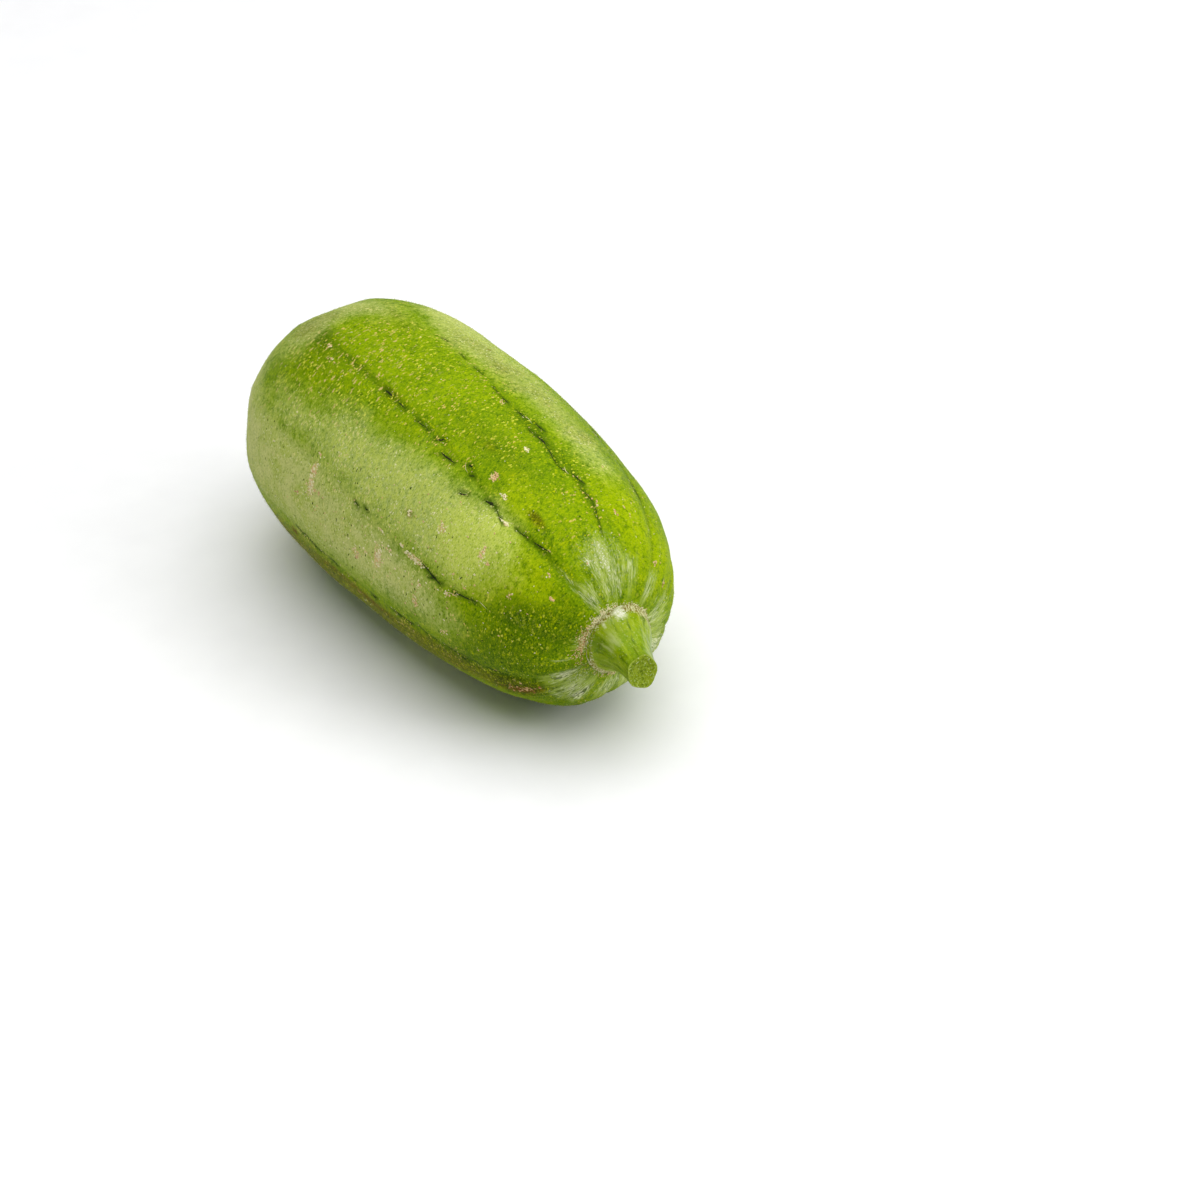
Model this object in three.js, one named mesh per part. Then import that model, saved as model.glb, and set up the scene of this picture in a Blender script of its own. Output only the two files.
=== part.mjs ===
// A smooth luffa gourd lying on its side: the fruit, its cut stem and the dried tip where the flower was.
// Millimetres, +Z up. The long axis runs along +X, from the blossom end to the stem end.
// "Along" is the distance from the fruit's widest cross-section, which lies near the blossom end.
// Angles round the fruit are in degrees about the long axis, from +Y towards +Z.
import * as THREE from 'three';

// Fruit.
const FRUIT_RADIUS = 42;
const BLOSSOM_REACH = 53;
const STEM_REACH = 110.5;
const BLOSSOM_FULLNESS = 2.04; // superellipse power: 2 is an ellipse, and more is blunter
const STEM_FULLNESS = 3.17;
const SAG_RADIUS = 830; // the long axis bends down at both ends, on this radius
const REST_DEPTH = 0.35; // how far the soft skin flattens under the fruit's own weight

// Ten seams run from end to end, a few degrees off even spacing and turning a little towards the stem.
const SEAM_ANGLES = [3, 36, 75, 113, 157, 192, 228, 263, 297, 330];
const SEAM_TWIST = 0.085; // degrees for each millimetre along
const SEAM_WANDER = 1.1; // degrees either side
const WANDER_LENGTH = 74;
const CREASE_DEPTH = 0.25; // each seam is a fine crease

// The seams stand proud at the blossom end, with flatter sides between them.
const CORNER_HEIGHT = 0.45;
const CORNER_PLACE = -33;
const CORNER_SPREAD = 22;

// They lie in shallow furrows elsewhere, deepest where the skin is drawn in round the stem.
const MIDDLE_FURROW_DEPTH = 0.2;
const END_FURROW_DEPTH = 0.4;
const FURROW_PLACE = 98;
const FURROW_SPREAD = 20;
const FURROW_NARROWNESS = 4; // power of the cosine across a lobe

// Puckers round the stem.
const PUCKERS_PER_LOBE = 3;
const PUCKER_HEIGHT = 0.22;
const PUCKER_START = 86;

// Soft dents, and swellings with a negative depth.
const DENTS = [
  { along: -38, angle: 128, reach: 12, depth: -0.7 },
  { along: -22, angle: 66, reach: 13, depth: -0.7 },
  { along: 32, angle: 41, reach: 13, depth: -0.5 },
  { along: 68, angle: 40, reach: 11, depth: 0.4 },
  { along: 88, angle: 21, reach: 13, depth: -0.4 },
  { along: -5, angle: 204, reach: 13, depth: 0.6 },
  { along: 15, angle: 215, reach: 11, depth: -0.5 },
  { along: 75, angle: 213, reach: 17, depth: 0.7 },
  { along: 101, angle: 256, reach: 12, depth: -0.4 },
  { along: 45, angle: 320, reach: 24, depth: 0.7 },
];

// Stem. It stands on a flat seat, runs out squarely, swings over into its lean and is cut on a slant.
const STEM_FOOT_RADIUS = 10.3;
const STEM_CUT_RADIUS = 4.7;
const STEM_LENGTH = 19.5;
const STEM_STRAIGHT = 3;
const STEM_LEAN_SIDE = -16; // degrees from +X towards +Y
const STEM_LEAN_UP = 5.5; // degrees from level
const STEM_TAPER = 1.9; // more keeps the stem slim for longer below its flared foot
const STEM_RIBS = 5;
const STEM_RIB_HEIGHT = 0.07; // as a share of the stem's radius
const STEM_RIBS_FULL = 0.33; // share of the length after which the ribs are at full height
const CUT_SLANT = 18; // degrees off square
const CUT_SLANT_TURN = 52; // which side of the stem is cut shorter, in degrees round it
const CUT_RIM_SHARE = 0.8; // the cut face keeps a rim of fresh rind round its dried hollow
const CUT_FLOOR_SHARE = 0.55;
const CUT_DISH = 0.5;

// Blossom tip: a flared foot, a short neck and a rounder head.
const TIP_FOOT_RADIUS = 2.2;
const TIP_NECK_RADIUS = 1.3;
const TIP_HEAD_RADIUS = 1.8;
const TIP_LENGTH = 3.6;

// The stem and the tip stand on seats a little wider than their feet, with a gap between the bodies.
const SEAT_MARGIN = 0.3;
const JOIN_GAP = 0.3;
const STEM_SEAT_RADIUS = STEM_FOOT_RADIUS + SEAT_MARGIN;
const TIP_SEAT_RADIUS = TIP_FOOT_RADIUS + SEAT_MARGIN;

// Facets.
const FRUIT_STATIONS = 45;
const SIDES_PER_LOBE = 12;
const STEM_STATIONS = 14;
const STEM_SIDES = 50;
const TIP_STATIONS = 9;
const TIP_SIDES = 18;

const radians = THREE.MathUtils.degToRad;

// A closed body from rings of points, each ring counter-clockwise seen from the body's far end.
// Each end is a fan round the middle of its ring.
function closedBody(rings) {
  const sides = rings[0].length;
  const ends = [rings[0], rings[rings.length - 1]];
  const middles = ends.map((ring) => {
    const sum = ring.reduce((total, point) => total.add(point), new THREE.Vector3());
    return sum.divideScalar(sides);
  });
  const nearMiddle = rings.length * sides;
  const farMiddle = nearMiddle + 1;
  const lastRing = nearMiddle - sides;
  const triangles = [];
  for (let side = 0; side < sides; side += 1) {
    const next = (side + 1) % sides;
    for (let here = 0; here < lastRing; here += sides) {
      const ahead = here + sides;
      triangles.push(here + side, here + next, ahead + next);
      triangles.push(here + side, ahead + next, ahead + side);
    }
    triangles.push(nearMiddle, next, side);
    triangles.push(farMiddle, lastRing + side, lastRing + next);
  }
  const geometry = new THREE.BufferGeometry().setFromPoints([...rings.flat(), ...middles]);
  geometry.setIndex(triangles);
  geometry.computeVertexNormals();
  return geometry;
}

// A bell-shaped weight: 1 at the middle, fading over the spread.
function bell(distance, spread) {
  return Math.exp(-((distance / spread) ** 2));
}

// How far the bent axis has dropped.
function sag(along) {
  return along ** 2 / (2 * SAG_RADIUS);
}

// The fruit's outline from the blossom seat (t = 0) to the stem seat (t = 1).
// x is the distance along the fruit and y is the radius.
class FruitOutline extends THREE.Curve {
  constructor() {
    super();
    this.arcLengthDivisions = 2000;
    this.start = Math.asin((TIP_SEAT_RADIUS / FRUIT_RADIUS) ** (BLOSSOM_FULLNESS / 2));
    this.end = Math.PI - Math.asin((STEM_SEAT_RADIUS / FRUIT_RADIUS) ** (STEM_FULLNESS / 2));
  }

  getPoint(t, target = new THREE.Vector2()) {
    const turn = THREE.MathUtils.lerp(this.start, this.end, t);
    const atBlossomEnd = turn < Math.PI / 2;
    const reach = atBlossomEnd ? -BLOSSOM_REACH : STEM_REACH;
    const power = 2 / (atBlossomEnd ? BLOSSOM_FULLNESS : STEM_FULLNESS);
    return target.set(reach * Math.abs(Math.cos(turn)) ** power, FRUIT_RADIUS * Math.sin(turn) ** power);
  }
}

// The angle of a place on lobe number "lobe", from its own seam (share = 0) to the next one (share = 1).
function lobeAngle(lobe, share, along) {
  const wander = (seam) => SEAM_WANDER * Math.sin((2 * Math.PI * along) / WANDER_LENGTH + 2.4 * seam);
  const next = (lobe + 1) % SEAM_ANGLES.length;
  const near = SEAM_ANGLES[lobe] + wander(lobe);
  const far = SEAM_ANGLES[next] + wander(next) + (next === 0 ? 360 : 0);
  return THREE.MathUtils.lerp(near, far, share) + SEAM_TWIST * along;
}

// How far the skin stands off the plain outline.
function relief(share, along, angle) {
  const swing = Math.PI * share;
  const cornered = bell(along - CORNER_PLACE, CORNER_SPREAD);
  const furrow = MIDDLE_FURROW_DEPTH + END_FURROW_DEPTH * bell(along - FURROW_PLACE, FURROW_SPREAD);
  const crease = share === 0 ? CREASE_DEPTH : 0;
  const pucker = PUCKER_HEIGHT * THREE.MathUtils.smoothstep(along, PUCKER_START, STEM_REACH);
  let height = CORNER_HEIGHT * cornered * (1 - 2 * Math.sin(swing));
  height -= (1 - cornered) * (furrow * Math.abs(Math.cos(swing)) ** FURROW_NARROWNESS + crease);
  height -= pucker * Math.cos(2 * PUCKERS_PER_LOBE * swing);
  for (const dent of DENTS) {
    const turned = THREE.MathUtils.euclideanModulo(angle - dent.angle + 180, 360) - 180;
    const across = FRUIT_RADIUS * radians(turned);
    height -= dent.depth * bell(Math.hypot(along - dent.along, across), dent.reach);
  }
  return height;
}

// The fruit's rings. The first and the last are the flat, round seats of the tip and the stem.
function fruitRings(stations) {
  const rings = stations.map((station, row) => {
    const onSeat = row === 0 || row === stations.length - 1;
    const points = [];
    for (let lobe = 0; lobe < SEAM_ANGLES.length; lobe += 1) {
      for (let side = 0; side < SIDES_PER_LOBE; side += 1) {
        const share = side / SIDES_PER_LOBE;
        const angle = lobeAngle(lobe, share, station.x);
        const radius = station.y + (onSeat ? 0 : relief(share, station.x, angle));
        const height = radius * Math.sin(radians(angle)) - sag(station.x);
        points.push(new THREE.Vector3(station.x, radius * Math.cos(radians(angle)), height));
      }
    }
    return points;
  });
  const floor = Math.min(...rings.flat().map((point) => point.z)) + REST_DEPTH;
  for (const point of rings.flat()) {
    point.z = Math.max(point.z, floor);
  }
  return rings;
}

// The stem's rings, along a middle line that starts square to its seat.
function stemRings(seat) {
  const start = new THREE.Vector3(seat + JOIN_GAP, 0, -sag(seat));
  const turn = new THREE.Euler(0, -radians(STEM_LEAN_UP), radians(STEM_LEAN_SIDE), 'ZYX');
  const lean = new THREE.Vector3(1, 0, 0).applyEuler(turn);
  const bend = start.clone().setX(start.x + STEM_STRAIGHT);
  const end = start.clone().addScaledVector(lean, STEM_LENGTH);
  const middle = new THREE.QuadraticBezierCurve3(start, bend, end);
  const slope = Math.tan(radians(CUT_SLANT));
  const ring = (place, share, sunk) => {
    const forward = middle.getTangentAt(place);
    const side = new THREE.Vector3(0, 0, 1).cross(forward).normalize();
    const top = forward.clone().cross(side);
    const centre = middle.getPointAt(place).addScaledVector(forward, -sunk);
    const radius = THREE.MathUtils.lerp(STEM_CUT_RADIUS, STEM_FOOT_RADIUS, (1 - place) ** STEM_TAPER);
    const rib = STEM_RIB_HEIGHT * Math.min(1, place / STEM_RIBS_FULL);
    return Array.from({ length: STEM_SIDES }, (_, index) => {
      const angle = (2 * Math.PI * index) / STEM_SIDES;
      const reach = share * radius * (1 - rib + rib * Math.cos(STEM_RIBS * angle));
      const cutBack = reach * slope * place ** 3 * Math.cos(angle - radians(CUT_SLANT_TURN));
      const point = centre.clone().addScaledVector(forward, -cutBack);
      point.addScaledVector(side, reach * Math.cos(angle));
      return point.addScaledVector(top, reach * Math.sin(angle));
    });
  };
  const skin = Array.from({ length: STEM_STATIONS }, (_, row) => ring(row / (STEM_STATIONS - 1), 1, 0));
  return [...skin, ring(1, CUT_RIM_SHARE, 0), ring(1, CUT_FLOOR_SHARE, CUT_DISH)];
}

// The blossom tip's rings, round about a line along -X.
function tipRings(seat) {
  const side = new THREE.SplineCurve([
    new THREE.Vector2(0, TIP_FOOT_RADIUS),
    new THREE.Vector2(0.25 * TIP_LENGTH, TIP_NECK_RADIUS),
    new THREE.Vector2(0.6 * TIP_LENGTH, TIP_HEAD_RADIUS),
    new THREE.Vector2(0.9 * TIP_LENGTH, 0.75 * TIP_HEAD_RADIUS),
    new THREE.Vector2(TIP_LENGTH, 0.3 * TIP_HEAD_RADIUS),
  ]);
  return side.getPoints(TIP_STATIONS - 1).map((station) =>
    Array.from({ length: TIP_SIDES }, (_, index) => {
      const angle = (-2 * Math.PI * index) / TIP_SIDES;
      const height = station.y * Math.sin(angle) - sag(seat);
      return new THREE.Vector3(seat - JOIN_GAP - station.x, station.y * Math.cos(angle), height);
    }),
  );
}

function piece(name, rings, color, roughness) {
  const material = new THREE.MeshStandardMaterial({ color, roughness, metalness: 0 });
  const mesh = new THREE.Mesh(closedBody(rings), material);
  mesh.name = name;
  return mesh;
}

const stations = new FruitOutline().getSpacedPoints(FRUIT_STATIONS - 1);
const tipSeat = stations[0].x;
const stemSeat = stations[FRUIT_STATIONS - 1].x;
const gourd = new THREE.Group();
gourd.add(piece('fruit', fruitRings(stations), 0x86a72c, 0.45));
gourd.add(piece('stem', stemRings(stemSeat), 0x8fae3a, 0.5));
gourd.add(piece('blossom_tip', tipRings(tipSeat), 0x6f7f2c, 0.75));

// The middle of the gourd's underside is at the origin.
const box = new THREE.Box3().setFromObject(gourd);
const middle = box.getCenter(new THREE.Vector3());
gourd.position.set(-middle.x, -middle.y, -box.min.z);

export default gourd;
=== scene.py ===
# %% [markdown]
# # A smooth luffa gourd
# A smooth luffa is a cousin of the ridge gourd, picked young and eaten as a vegetable. It is one blunt,
# club-shaped fruit. Ten seams run over it from the dried flower to the stalk, and short fine hairs cover it.
#
# The solids of the fruit, the stalk and the flower's remnant are loaded first, as a fixed frame. Each one is
# then covered by a finer mesh of the same form, made here in code, with its finish from shader nodes.
# Shapes are worked out in millimetres and turned into Blender's metres when a mesh is made.

# %% Load the solids
import math

import bpy
import numpy as np
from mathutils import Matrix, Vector


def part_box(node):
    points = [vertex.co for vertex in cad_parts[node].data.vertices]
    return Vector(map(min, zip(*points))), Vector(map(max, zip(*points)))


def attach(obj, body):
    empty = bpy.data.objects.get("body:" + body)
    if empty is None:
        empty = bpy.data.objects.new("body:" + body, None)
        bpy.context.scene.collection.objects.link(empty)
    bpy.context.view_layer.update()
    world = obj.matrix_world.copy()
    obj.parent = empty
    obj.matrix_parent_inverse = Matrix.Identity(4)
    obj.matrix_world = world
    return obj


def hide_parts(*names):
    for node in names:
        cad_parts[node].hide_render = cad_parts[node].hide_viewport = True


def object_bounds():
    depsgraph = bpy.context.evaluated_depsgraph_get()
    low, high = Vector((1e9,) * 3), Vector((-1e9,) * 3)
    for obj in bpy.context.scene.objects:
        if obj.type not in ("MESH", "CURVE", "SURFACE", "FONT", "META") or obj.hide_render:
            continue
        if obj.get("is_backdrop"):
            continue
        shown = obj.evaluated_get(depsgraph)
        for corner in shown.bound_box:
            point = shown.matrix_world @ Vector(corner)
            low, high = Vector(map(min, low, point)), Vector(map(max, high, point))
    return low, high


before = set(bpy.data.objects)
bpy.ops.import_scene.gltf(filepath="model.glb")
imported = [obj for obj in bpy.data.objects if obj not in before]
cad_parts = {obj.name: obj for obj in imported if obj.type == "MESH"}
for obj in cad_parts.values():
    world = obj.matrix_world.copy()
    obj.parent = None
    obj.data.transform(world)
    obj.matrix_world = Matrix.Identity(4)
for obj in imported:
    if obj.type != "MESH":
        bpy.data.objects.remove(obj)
cad_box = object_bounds()

MM = 0.001
print("solids:", ", ".join(sorted(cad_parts)))

# %% [markdown]
# ## Small helpers
# A colour is easiest to pick as an sRGB hex value, but a shader works with linear light, so one function
# turns the first into the second. A second function adds a shader node with its settings and its links.
# Many nodes have several sockets of one name, so sockets are mostly picked by number: on a Map Range node
# 0 is the value, 1 and 2 are the range it comes in and 3 and 4 the range it leaves in, and on a Mix node
# 0 is the share, 2 and 3 are two numbers and 6 and 7 are two colours.

# %% Colours and nodes
def linear(hex_colour):
    """An sRGB hex value as linear red, green, blue and alpha."""
    channels = [((hex_colour >> shift) & 255) / 255 for shift in (16, 8, 0)]
    bent = [c / 12.92 if c <= 0.04045 else ((c + 0.055) / 1.055) ** 2.4 for c in channels]
    return (*bent, 1.0)


def add(tree, kind, inputs=None, **settings):
    """Adds one node. inputs says, for a socket's name or number, its value, or the output that feeds it. A
    node given there stands for its first output, and a number given to a colour socket is sRGB hex."""
    node = tree.nodes.new(kind)
    for name, value in settings.items():
        setattr(node, name, value)
    for key, value in (inputs or {}).items():
        socket = node.inputs[key]
        if isinstance(value, bpy.types.Node):
            value = value.outputs[0]
        if isinstance(value, bpy.types.NodeSocket):
            tree.links.new(value, socket)
        else:
            socket.default_value = linear(value) if socket.type == "RGBA" else value
    return node


print("fresh rind green 708F00 in linear light:", [round(c, 3) for c in linear(0x708F00)[:3]])

# %% [markdown]
# ## Materials in layers
# A natural skin is never one colour. Each material here starts from a ground colour and gets one layer after
# another laid over it, where a noise pattern or a painted weight says so. Patterns take their size in mm
# from the real thing, and every material ends in one Principled surface.

# %% Materials and layers
def new_material(name):
    """An empty material and its node tree."""
    material = bpy.data.materials.new(name)
    material.use_nodes = True
    material.node_tree.nodes.clear()
    return material, material.node_tree


def coloured(tree, ground, colour, mask, start=0.0, full=1.0, blend="MIX"):
    """Lays a colour over the ground, from none where the mask is at start to all where it is at full."""
    share = add(tree, "ShaderNodeMapRange", {0: mask, 1: start, 2: full}, interpolation_type="SMOOTHSTEP")
    inputs = {0: share, 6: ground, 7: colour}
    return add(tree, "ShaderNodeMix", inputs, data_type="RGBA", blend_type=blend).outputs[2]


def painted(tree, ground, colour, weight, noise, ragged, start, full):
    """Lays a colour over the ground where a weight is high. ragged says how far the noise moves its edge.
    Where the weight fades out the noise fades too, so that it leaves no stray specks there."""
    hold = add(tree, "ShaderNodeMapRange", {0: weight, 1: 0.0, 2: 0.25, 4: ragged})
    centred = add(tree, "ShaderNodeMath", {0: noise, 1: 0.5}, operation="SUBTRACT")
    mask = add(tree, "ShaderNodeMath", {0: centred, 1: hold, 2: weight}, operation="MULTIPLY_ADD")
    return coloured(tree, ground, colour, mask, start, full)


# %% Patterns and finishes
def place_in_mm(tree):
    """The object's own coordinates, in millimetres, so that patterns take real sizes."""
    metres = add(tree, "ShaderNodeTexCoord").outputs["Object"]
    return add(tree, "ShaderNodeVectorMath", {0: metres, 1: (1 / MM,) * 3}, operation="MULTIPLY")


def pattern(tree, kind, place, size, stretch=(1, 1, 1), detail=0.0, **settings):
    """A noise or Voronoi pattern with cells of about size mm. Stretch over 1 makes them shorter that way."""
    scaled = tuple(s / size for s in stretch)
    squeezed = add(tree, "ShaderNodeVectorMath", {0: place, 1: scaled}, operation="MULTIPLY")
    return add(tree, kind, {"Vector": squeezed, "Scale": 1.0, "Detail": detail}, **settings)


def finish_material(tree, colour, roughness, normal, more=None, **constants):
    """Ends a tree in one Principled surface. The constants are set on its own sockets."""
    inputs = {"Base Color": colour, "Roughness": roughness, "Normal": normal, **(more or {})}
    surface = add(tree, "ShaderNodeBsdfPrincipled", inputs)
    for name, value in constants.items():
        surface.inputs[name.replace("_", " ")].default_value = value
    add(tree, "ShaderNodeOutputMaterial", {"Surface": surface})


# %% [markdown]
# ## The studio
# The gourd is shown on a white table with no edge in view, under one large soft light from above and a
# small weak one at the side. Large lights make the wide, soft highlights that show a waxy skin, and the white
# table throws light back up under the fruit. The camera looks down on the gourd from its stalk's side,
# from a metre away, through a long lens, so that its far end doesn't look small.

# %% Camera
PICTURE_SIZE = 1200
CAMERA_AZIMUTH = math.radians(53.52)
CAMERA_ELEVATION = math.radians(34.95)
CAMERA_DISTANCE = 1.0222
SENSOR_WIDTH = 36.0
LENS = 102.08
WIDEST_SECTION = Vector((-0.03696, 0.0, 0.04209))  # the middle of the fruit's widest cross-section
WIDEST_SECTION_PIXEL = (398.0, 446.7)  # where it is seen, in a picture of 1200 by 1200

back = Vector((
    math.sin(CAMERA_AZIMUTH) * math.cos(CAMERA_ELEVATION),
    -math.cos(CAMERA_AZIMUTH) * math.cos(CAMERA_ELEVATION),
    math.sin(CAMERA_ELEVATION),
))
right = Vector((math.cos(CAMERA_AZIMUTH), math.sin(CAMERA_AZIMUTH), 0.0))
up = back.cross(right)
pixel_size = CAMERA_DISTANCE * SENSOR_WIDTH / (LENS * PICTURE_SIZE)
aside = (PICTURE_SIZE / 2 - WIDEST_SECTION_PIXEL[0]) * pixel_size
below = (PICTURE_SIZE / 2 - WIDEST_SECTION_PIXEL[1]) * pixel_size

camera_data = bpy.data.cameras.new("camera")
camera_data.lens = LENS
camera_data.sensor_width = SENSOR_WIDTH
camera = bpy.data.objects.new("camera", camera_data)
camera.location = WIDEST_SECTION + back * CAMERA_DISTANCE + right * aside - up * below
camera.rotation_mode = "QUATERNION"
camera.rotation_quaternion = (-back).to_track_quat("-Z", "Y")
scene = bpy.context.scene
scene.collection.objects.link(camera)
scene.camera = camera
scene.view_settings.view_transform = "Standard"
print(f"camera: one pixel covers {pixel_size / MM:.3f} mm")

# %% Lights
LIGHT_AIM = Vector((0.0, 0.0, 0.04))
AMBIENT_STRENGTH = 0.22


def softbox(name, place, size, power):
    """A square area light that faces the gourd."""
    data = bpy.data.lights.new(name, "AREA")
    data.shape = "RECTANGLE"
    data.size, data.size_y = size
    data.energy = power
    light = bpy.data.objects.new(name, data)
    light.location = place
    light.rotation_mode = "QUATERNION"
    light.rotation_quaternion = (LIGHT_AIM - light.location).to_track_quat("-Z", "Y")
    scene.collection.objects.link(light)


softbox("overhead softbox", Vector((0.0, 0.1, 1.0)), (1.6, 1.6), 17.0)
softbox("right softbox", Vector((0.93, 0.6, 0.62)), (0.5, 0.5), 4.5)

world = bpy.data.worlds.new("studio")
world.use_nodes = True
world.node_tree.nodes["Background"].inputs[0].default_value = linear(0xF4F6FA)
world.node_tree.nodes["Background"].inputs[1].default_value = AMBIENT_STRENGTH
scene.world = world
print("lights:", ", ".join(light.name for light in bpy.data.lights))

# %% Table
TABLE_HALF = 4.0
TABLE_GAP = 0.05 * MM
MOTTLE_SCALE = 60.0  # about 17 mm, coarser than in real laminate, so that it shows at all

table_mesh = bpy.data.meshes.new("table")
corners = [(x * TABLE_HALF, y * TABLE_HALF, -TABLE_GAP) for x, y in ((-1, -1), (1, -1), (1, 1), (-1, 1))]
table_mesh.from_pydata(corners, [], [(0, 1, 2, 3)])
table = bpy.data.objects.new("table", table_mesh)
scene.collection.objects.link(table)
table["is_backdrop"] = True

# Matt white laminate: no shine to speak of, and a hardly visible mottle.
laminate, tree = new_material("matt white laminate")
place = add(tree, "ShaderNodeTexCoord").outputs["Object"]
mottle = add(tree, "ShaderNodeTexNoise", {"Vector": place, "Scale": MOTTLE_SCALE, "Detail": 3.0})
white = coloured(tree, 0xF2F2F2, 0xF7F7F7, mottle)
plain = add(tree, "ShaderNodeNewGeometry").outputs["Normal"]
finish_material(tree, white, 0.9, plain, Specular_IOR_Level=0.1)
table_mesh.materials.append(laminate)
print(f"table: {2 * TABLE_HALF:.0f} m square, {TABLE_GAP / MM:.2f} mm under the gourd")

# %% [markdown]
# ## The fruit's form
# The outline is a superellipse on each side of the widest cross-section, close to an ellipse at the blossom
# end and blunter at the stalk. The long axis sags a little at both ends. Ten seams run along it, and all that
# follows them is worked out from two numbers: how far along a place is, and its angle round the fruit.
# A lathe would give a bottle. The seams, puckers, dents and the flat spot that it lies on make it a fruit.

# %% Sizes of the fruit, as in its solid
FRUIT_RADIUS = 42
BLOSSOM_REACH = 53
STEM_REACH = 110.5
BLOSSOM_FULLNESS = 2.04
STEM_FULLNESS = 3.17
SAG_RADIUS = 830
REST_DEPTH = 0.35
print(f"the fruit's outline is {BLOSSOM_REACH + STEM_REACH} mm long and {2 * FRUIT_RADIUS} mm thick")

# %% Seams, furrows and dents, as in its solid
SEAM_ANGLES = np.array([3, 36, 75, 113, 157, 192, 228, 263, 297, 330], float)
SEAM_TWIST = 0.085  # degrees for each mm along
SEAM_WANDER = 1.1  # degrees to either side
WANDER_LENGTH = 74
WANDER_SHIFT = 2.4  # from one seam's wander to the next, in radians
CREASE_DEPTH = 0.25
CREASE_SPREAD = 1.1

CORNER_HEIGHT = 0.45
CORNER_PLACE = -33
CORNER_SPREAD = 22
MIDDLE_FURROW_DEPTH = 0.2
END_FURROW_DEPTH = 0.4
FURROW_PLACE = 98
FURROW_SPREAD = 20
FURROW_NARROWNESS = 4
PUCKERS_PER_LOBE = 3
PUCKER_HEIGHT = 0.22
PUCKER_START = 86

# Soft dents as (along, angle, reach, depth). A negative depth is a swelling.
DENTS = [
    (-38, 128, 12, -0.7), (-22, 66, 13, -0.7), (32, 41, 13, -0.5), (68, 40, 11, 0.4),
    (88, 21, 13, -0.4), (-5, 204, 13, 0.6), (15, 215, 11, -0.5), (75, 213, 17, 0.7),
    (101, 256, 12, -0.4), (45, 320, 24, 0.7),
]

print(f"lobes are {np.ptp(SEAM_ANGLES) / (len(SEAM_ANGLES) - 1):.0f} degrees wide on average")


# %% Bells, steps and the bent axis
def bell(distance, spread):
    """1 in the middle, fading over the spread."""
    return np.exp(-((distance / spread) ** 2))


def smooth_step(value, start, full):
    """0 up to start, 1 from full, and smooth between them."""
    share = np.clip((value - start) / (full - start), 0, 1)
    return share * share * (3 - 2 * share)


def sag(along):
    """How far the bent axis has dropped."""
    return along**2 / (2 * SAG_RADIUS)


print(f"the axis has dropped {sag(STEM_REACH):.1f} mm at the stalk")

# %% Outline
# The stalk and the dried flower stand on flat seats at the ends of the outline.
STALK_FOOT_RADIUS = 10.3
TIP_FOOT_RADIUS = 2.2
SEAT_MARGIN = 0.3
JOIN_GAP = 0.3
STALK_SEAT_RADIUS = STALK_FOOT_RADIUS + SEAT_MARGIN
TIP_SEAT_RADIUS = TIP_FOOT_RADIUS + SEAT_MARGIN
FINE_STEPS = 40  # steps of the trial walk over the skin, for each ring kept


def outline_stations(count):
    """Places along the fruit and the radius at each, at equal steps over the skin."""
    start = math.asin((TIP_SEAT_RADIUS / FRUIT_RADIUS) ** (BLOSSOM_FULLNESS / 2))
    end = math.pi - math.asin((STALK_SEAT_RADIUS / FRUIT_RADIUS) ** (STEM_FULLNESS / 2))
    turn = np.linspace(start, end, FINE_STEPS * count)
    blossom = turn < math.pi / 2
    reach = np.where(blossom, -BLOSSOM_REACH, STEM_REACH)
    power = 2 / np.where(blossom, BLOSSOM_FULLNESS, STEM_FULLNESS)
    along = reach * np.abs(np.cos(turn)) ** power
    radius = FRUIT_RADIUS * np.sin(turn) ** power
    walked = np.concatenate([[0], np.cumsum(np.hypot(np.diff(along), np.diff(radius)))])
    steps = np.linspace(0, walked[-1], count)
    return np.interp(steps, walked, along), np.interp(steps, walked, radius), steps


def outline_radius(along):
    """The plain radius at a place along the fruit."""
    reach = np.where(along < 0, BLOSSOM_REACH, STEM_REACH)
    fullness = np.where(along < 0, BLOSSOM_FULLNESS, STEM_FULLNESS)
    return FRUIT_RADIUS * np.clip(1 - (np.abs(along) / reach) ** fullness, 0, 1) ** (1 / fullness)


print(f"half way from its widest place to the stalk it is {2 * outline_radius(STEM_REACH / 2):.1f} mm thick")


# %% Seams and lobes
def seam_angle(seam, along):
    """The angle of a seam, which wanders and turns a little on its way."""
    wander = SEAM_WANDER * np.sin(2 * np.pi * along / WANDER_LENGTH + WANDER_SHIFT * seam)
    return SEAM_ANGLES[seam] + wander + SEAM_TWIST * along


def share_of_lobe(along, angle):
    """Where an angle lies in its lobe, from 0 at one seam to 1 at the next, and the lobe's width."""
    seams = np.stack([seam_angle(seam, along) for seam in range(len(SEAM_ANGLES))])
    past = (angle - seams) % 360
    lobe = np.argmin(past, axis=0)
    following = (lobe + 1) % len(SEAM_ANGLES)
    this_seam, next_seam = (np.take_along_axis(seams, pick[None], 0)[0] for pick in (lobe, following))
    width = (next_seam - this_seam) % 360
    return np.take_along_axis(past, lobe[None], 0)[0] / width, width


def turned_from(angle, middle):
    """Degrees from the middle to an angle, between -180 and 180."""
    return (angle - middle + 180) % 360 - 180


def mark(along, angle, place, spread):
    """A soft round weight on the skin. The place is (along, angle) and the spread (along, across) in mm."""
    across = FRUIT_RADIUS * np.radians(turned_from(angle, place[1]))
    return np.exp(-(((along - place[0]) / spread[0]) ** 2) - (across / spread[1]) ** 2)


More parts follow.
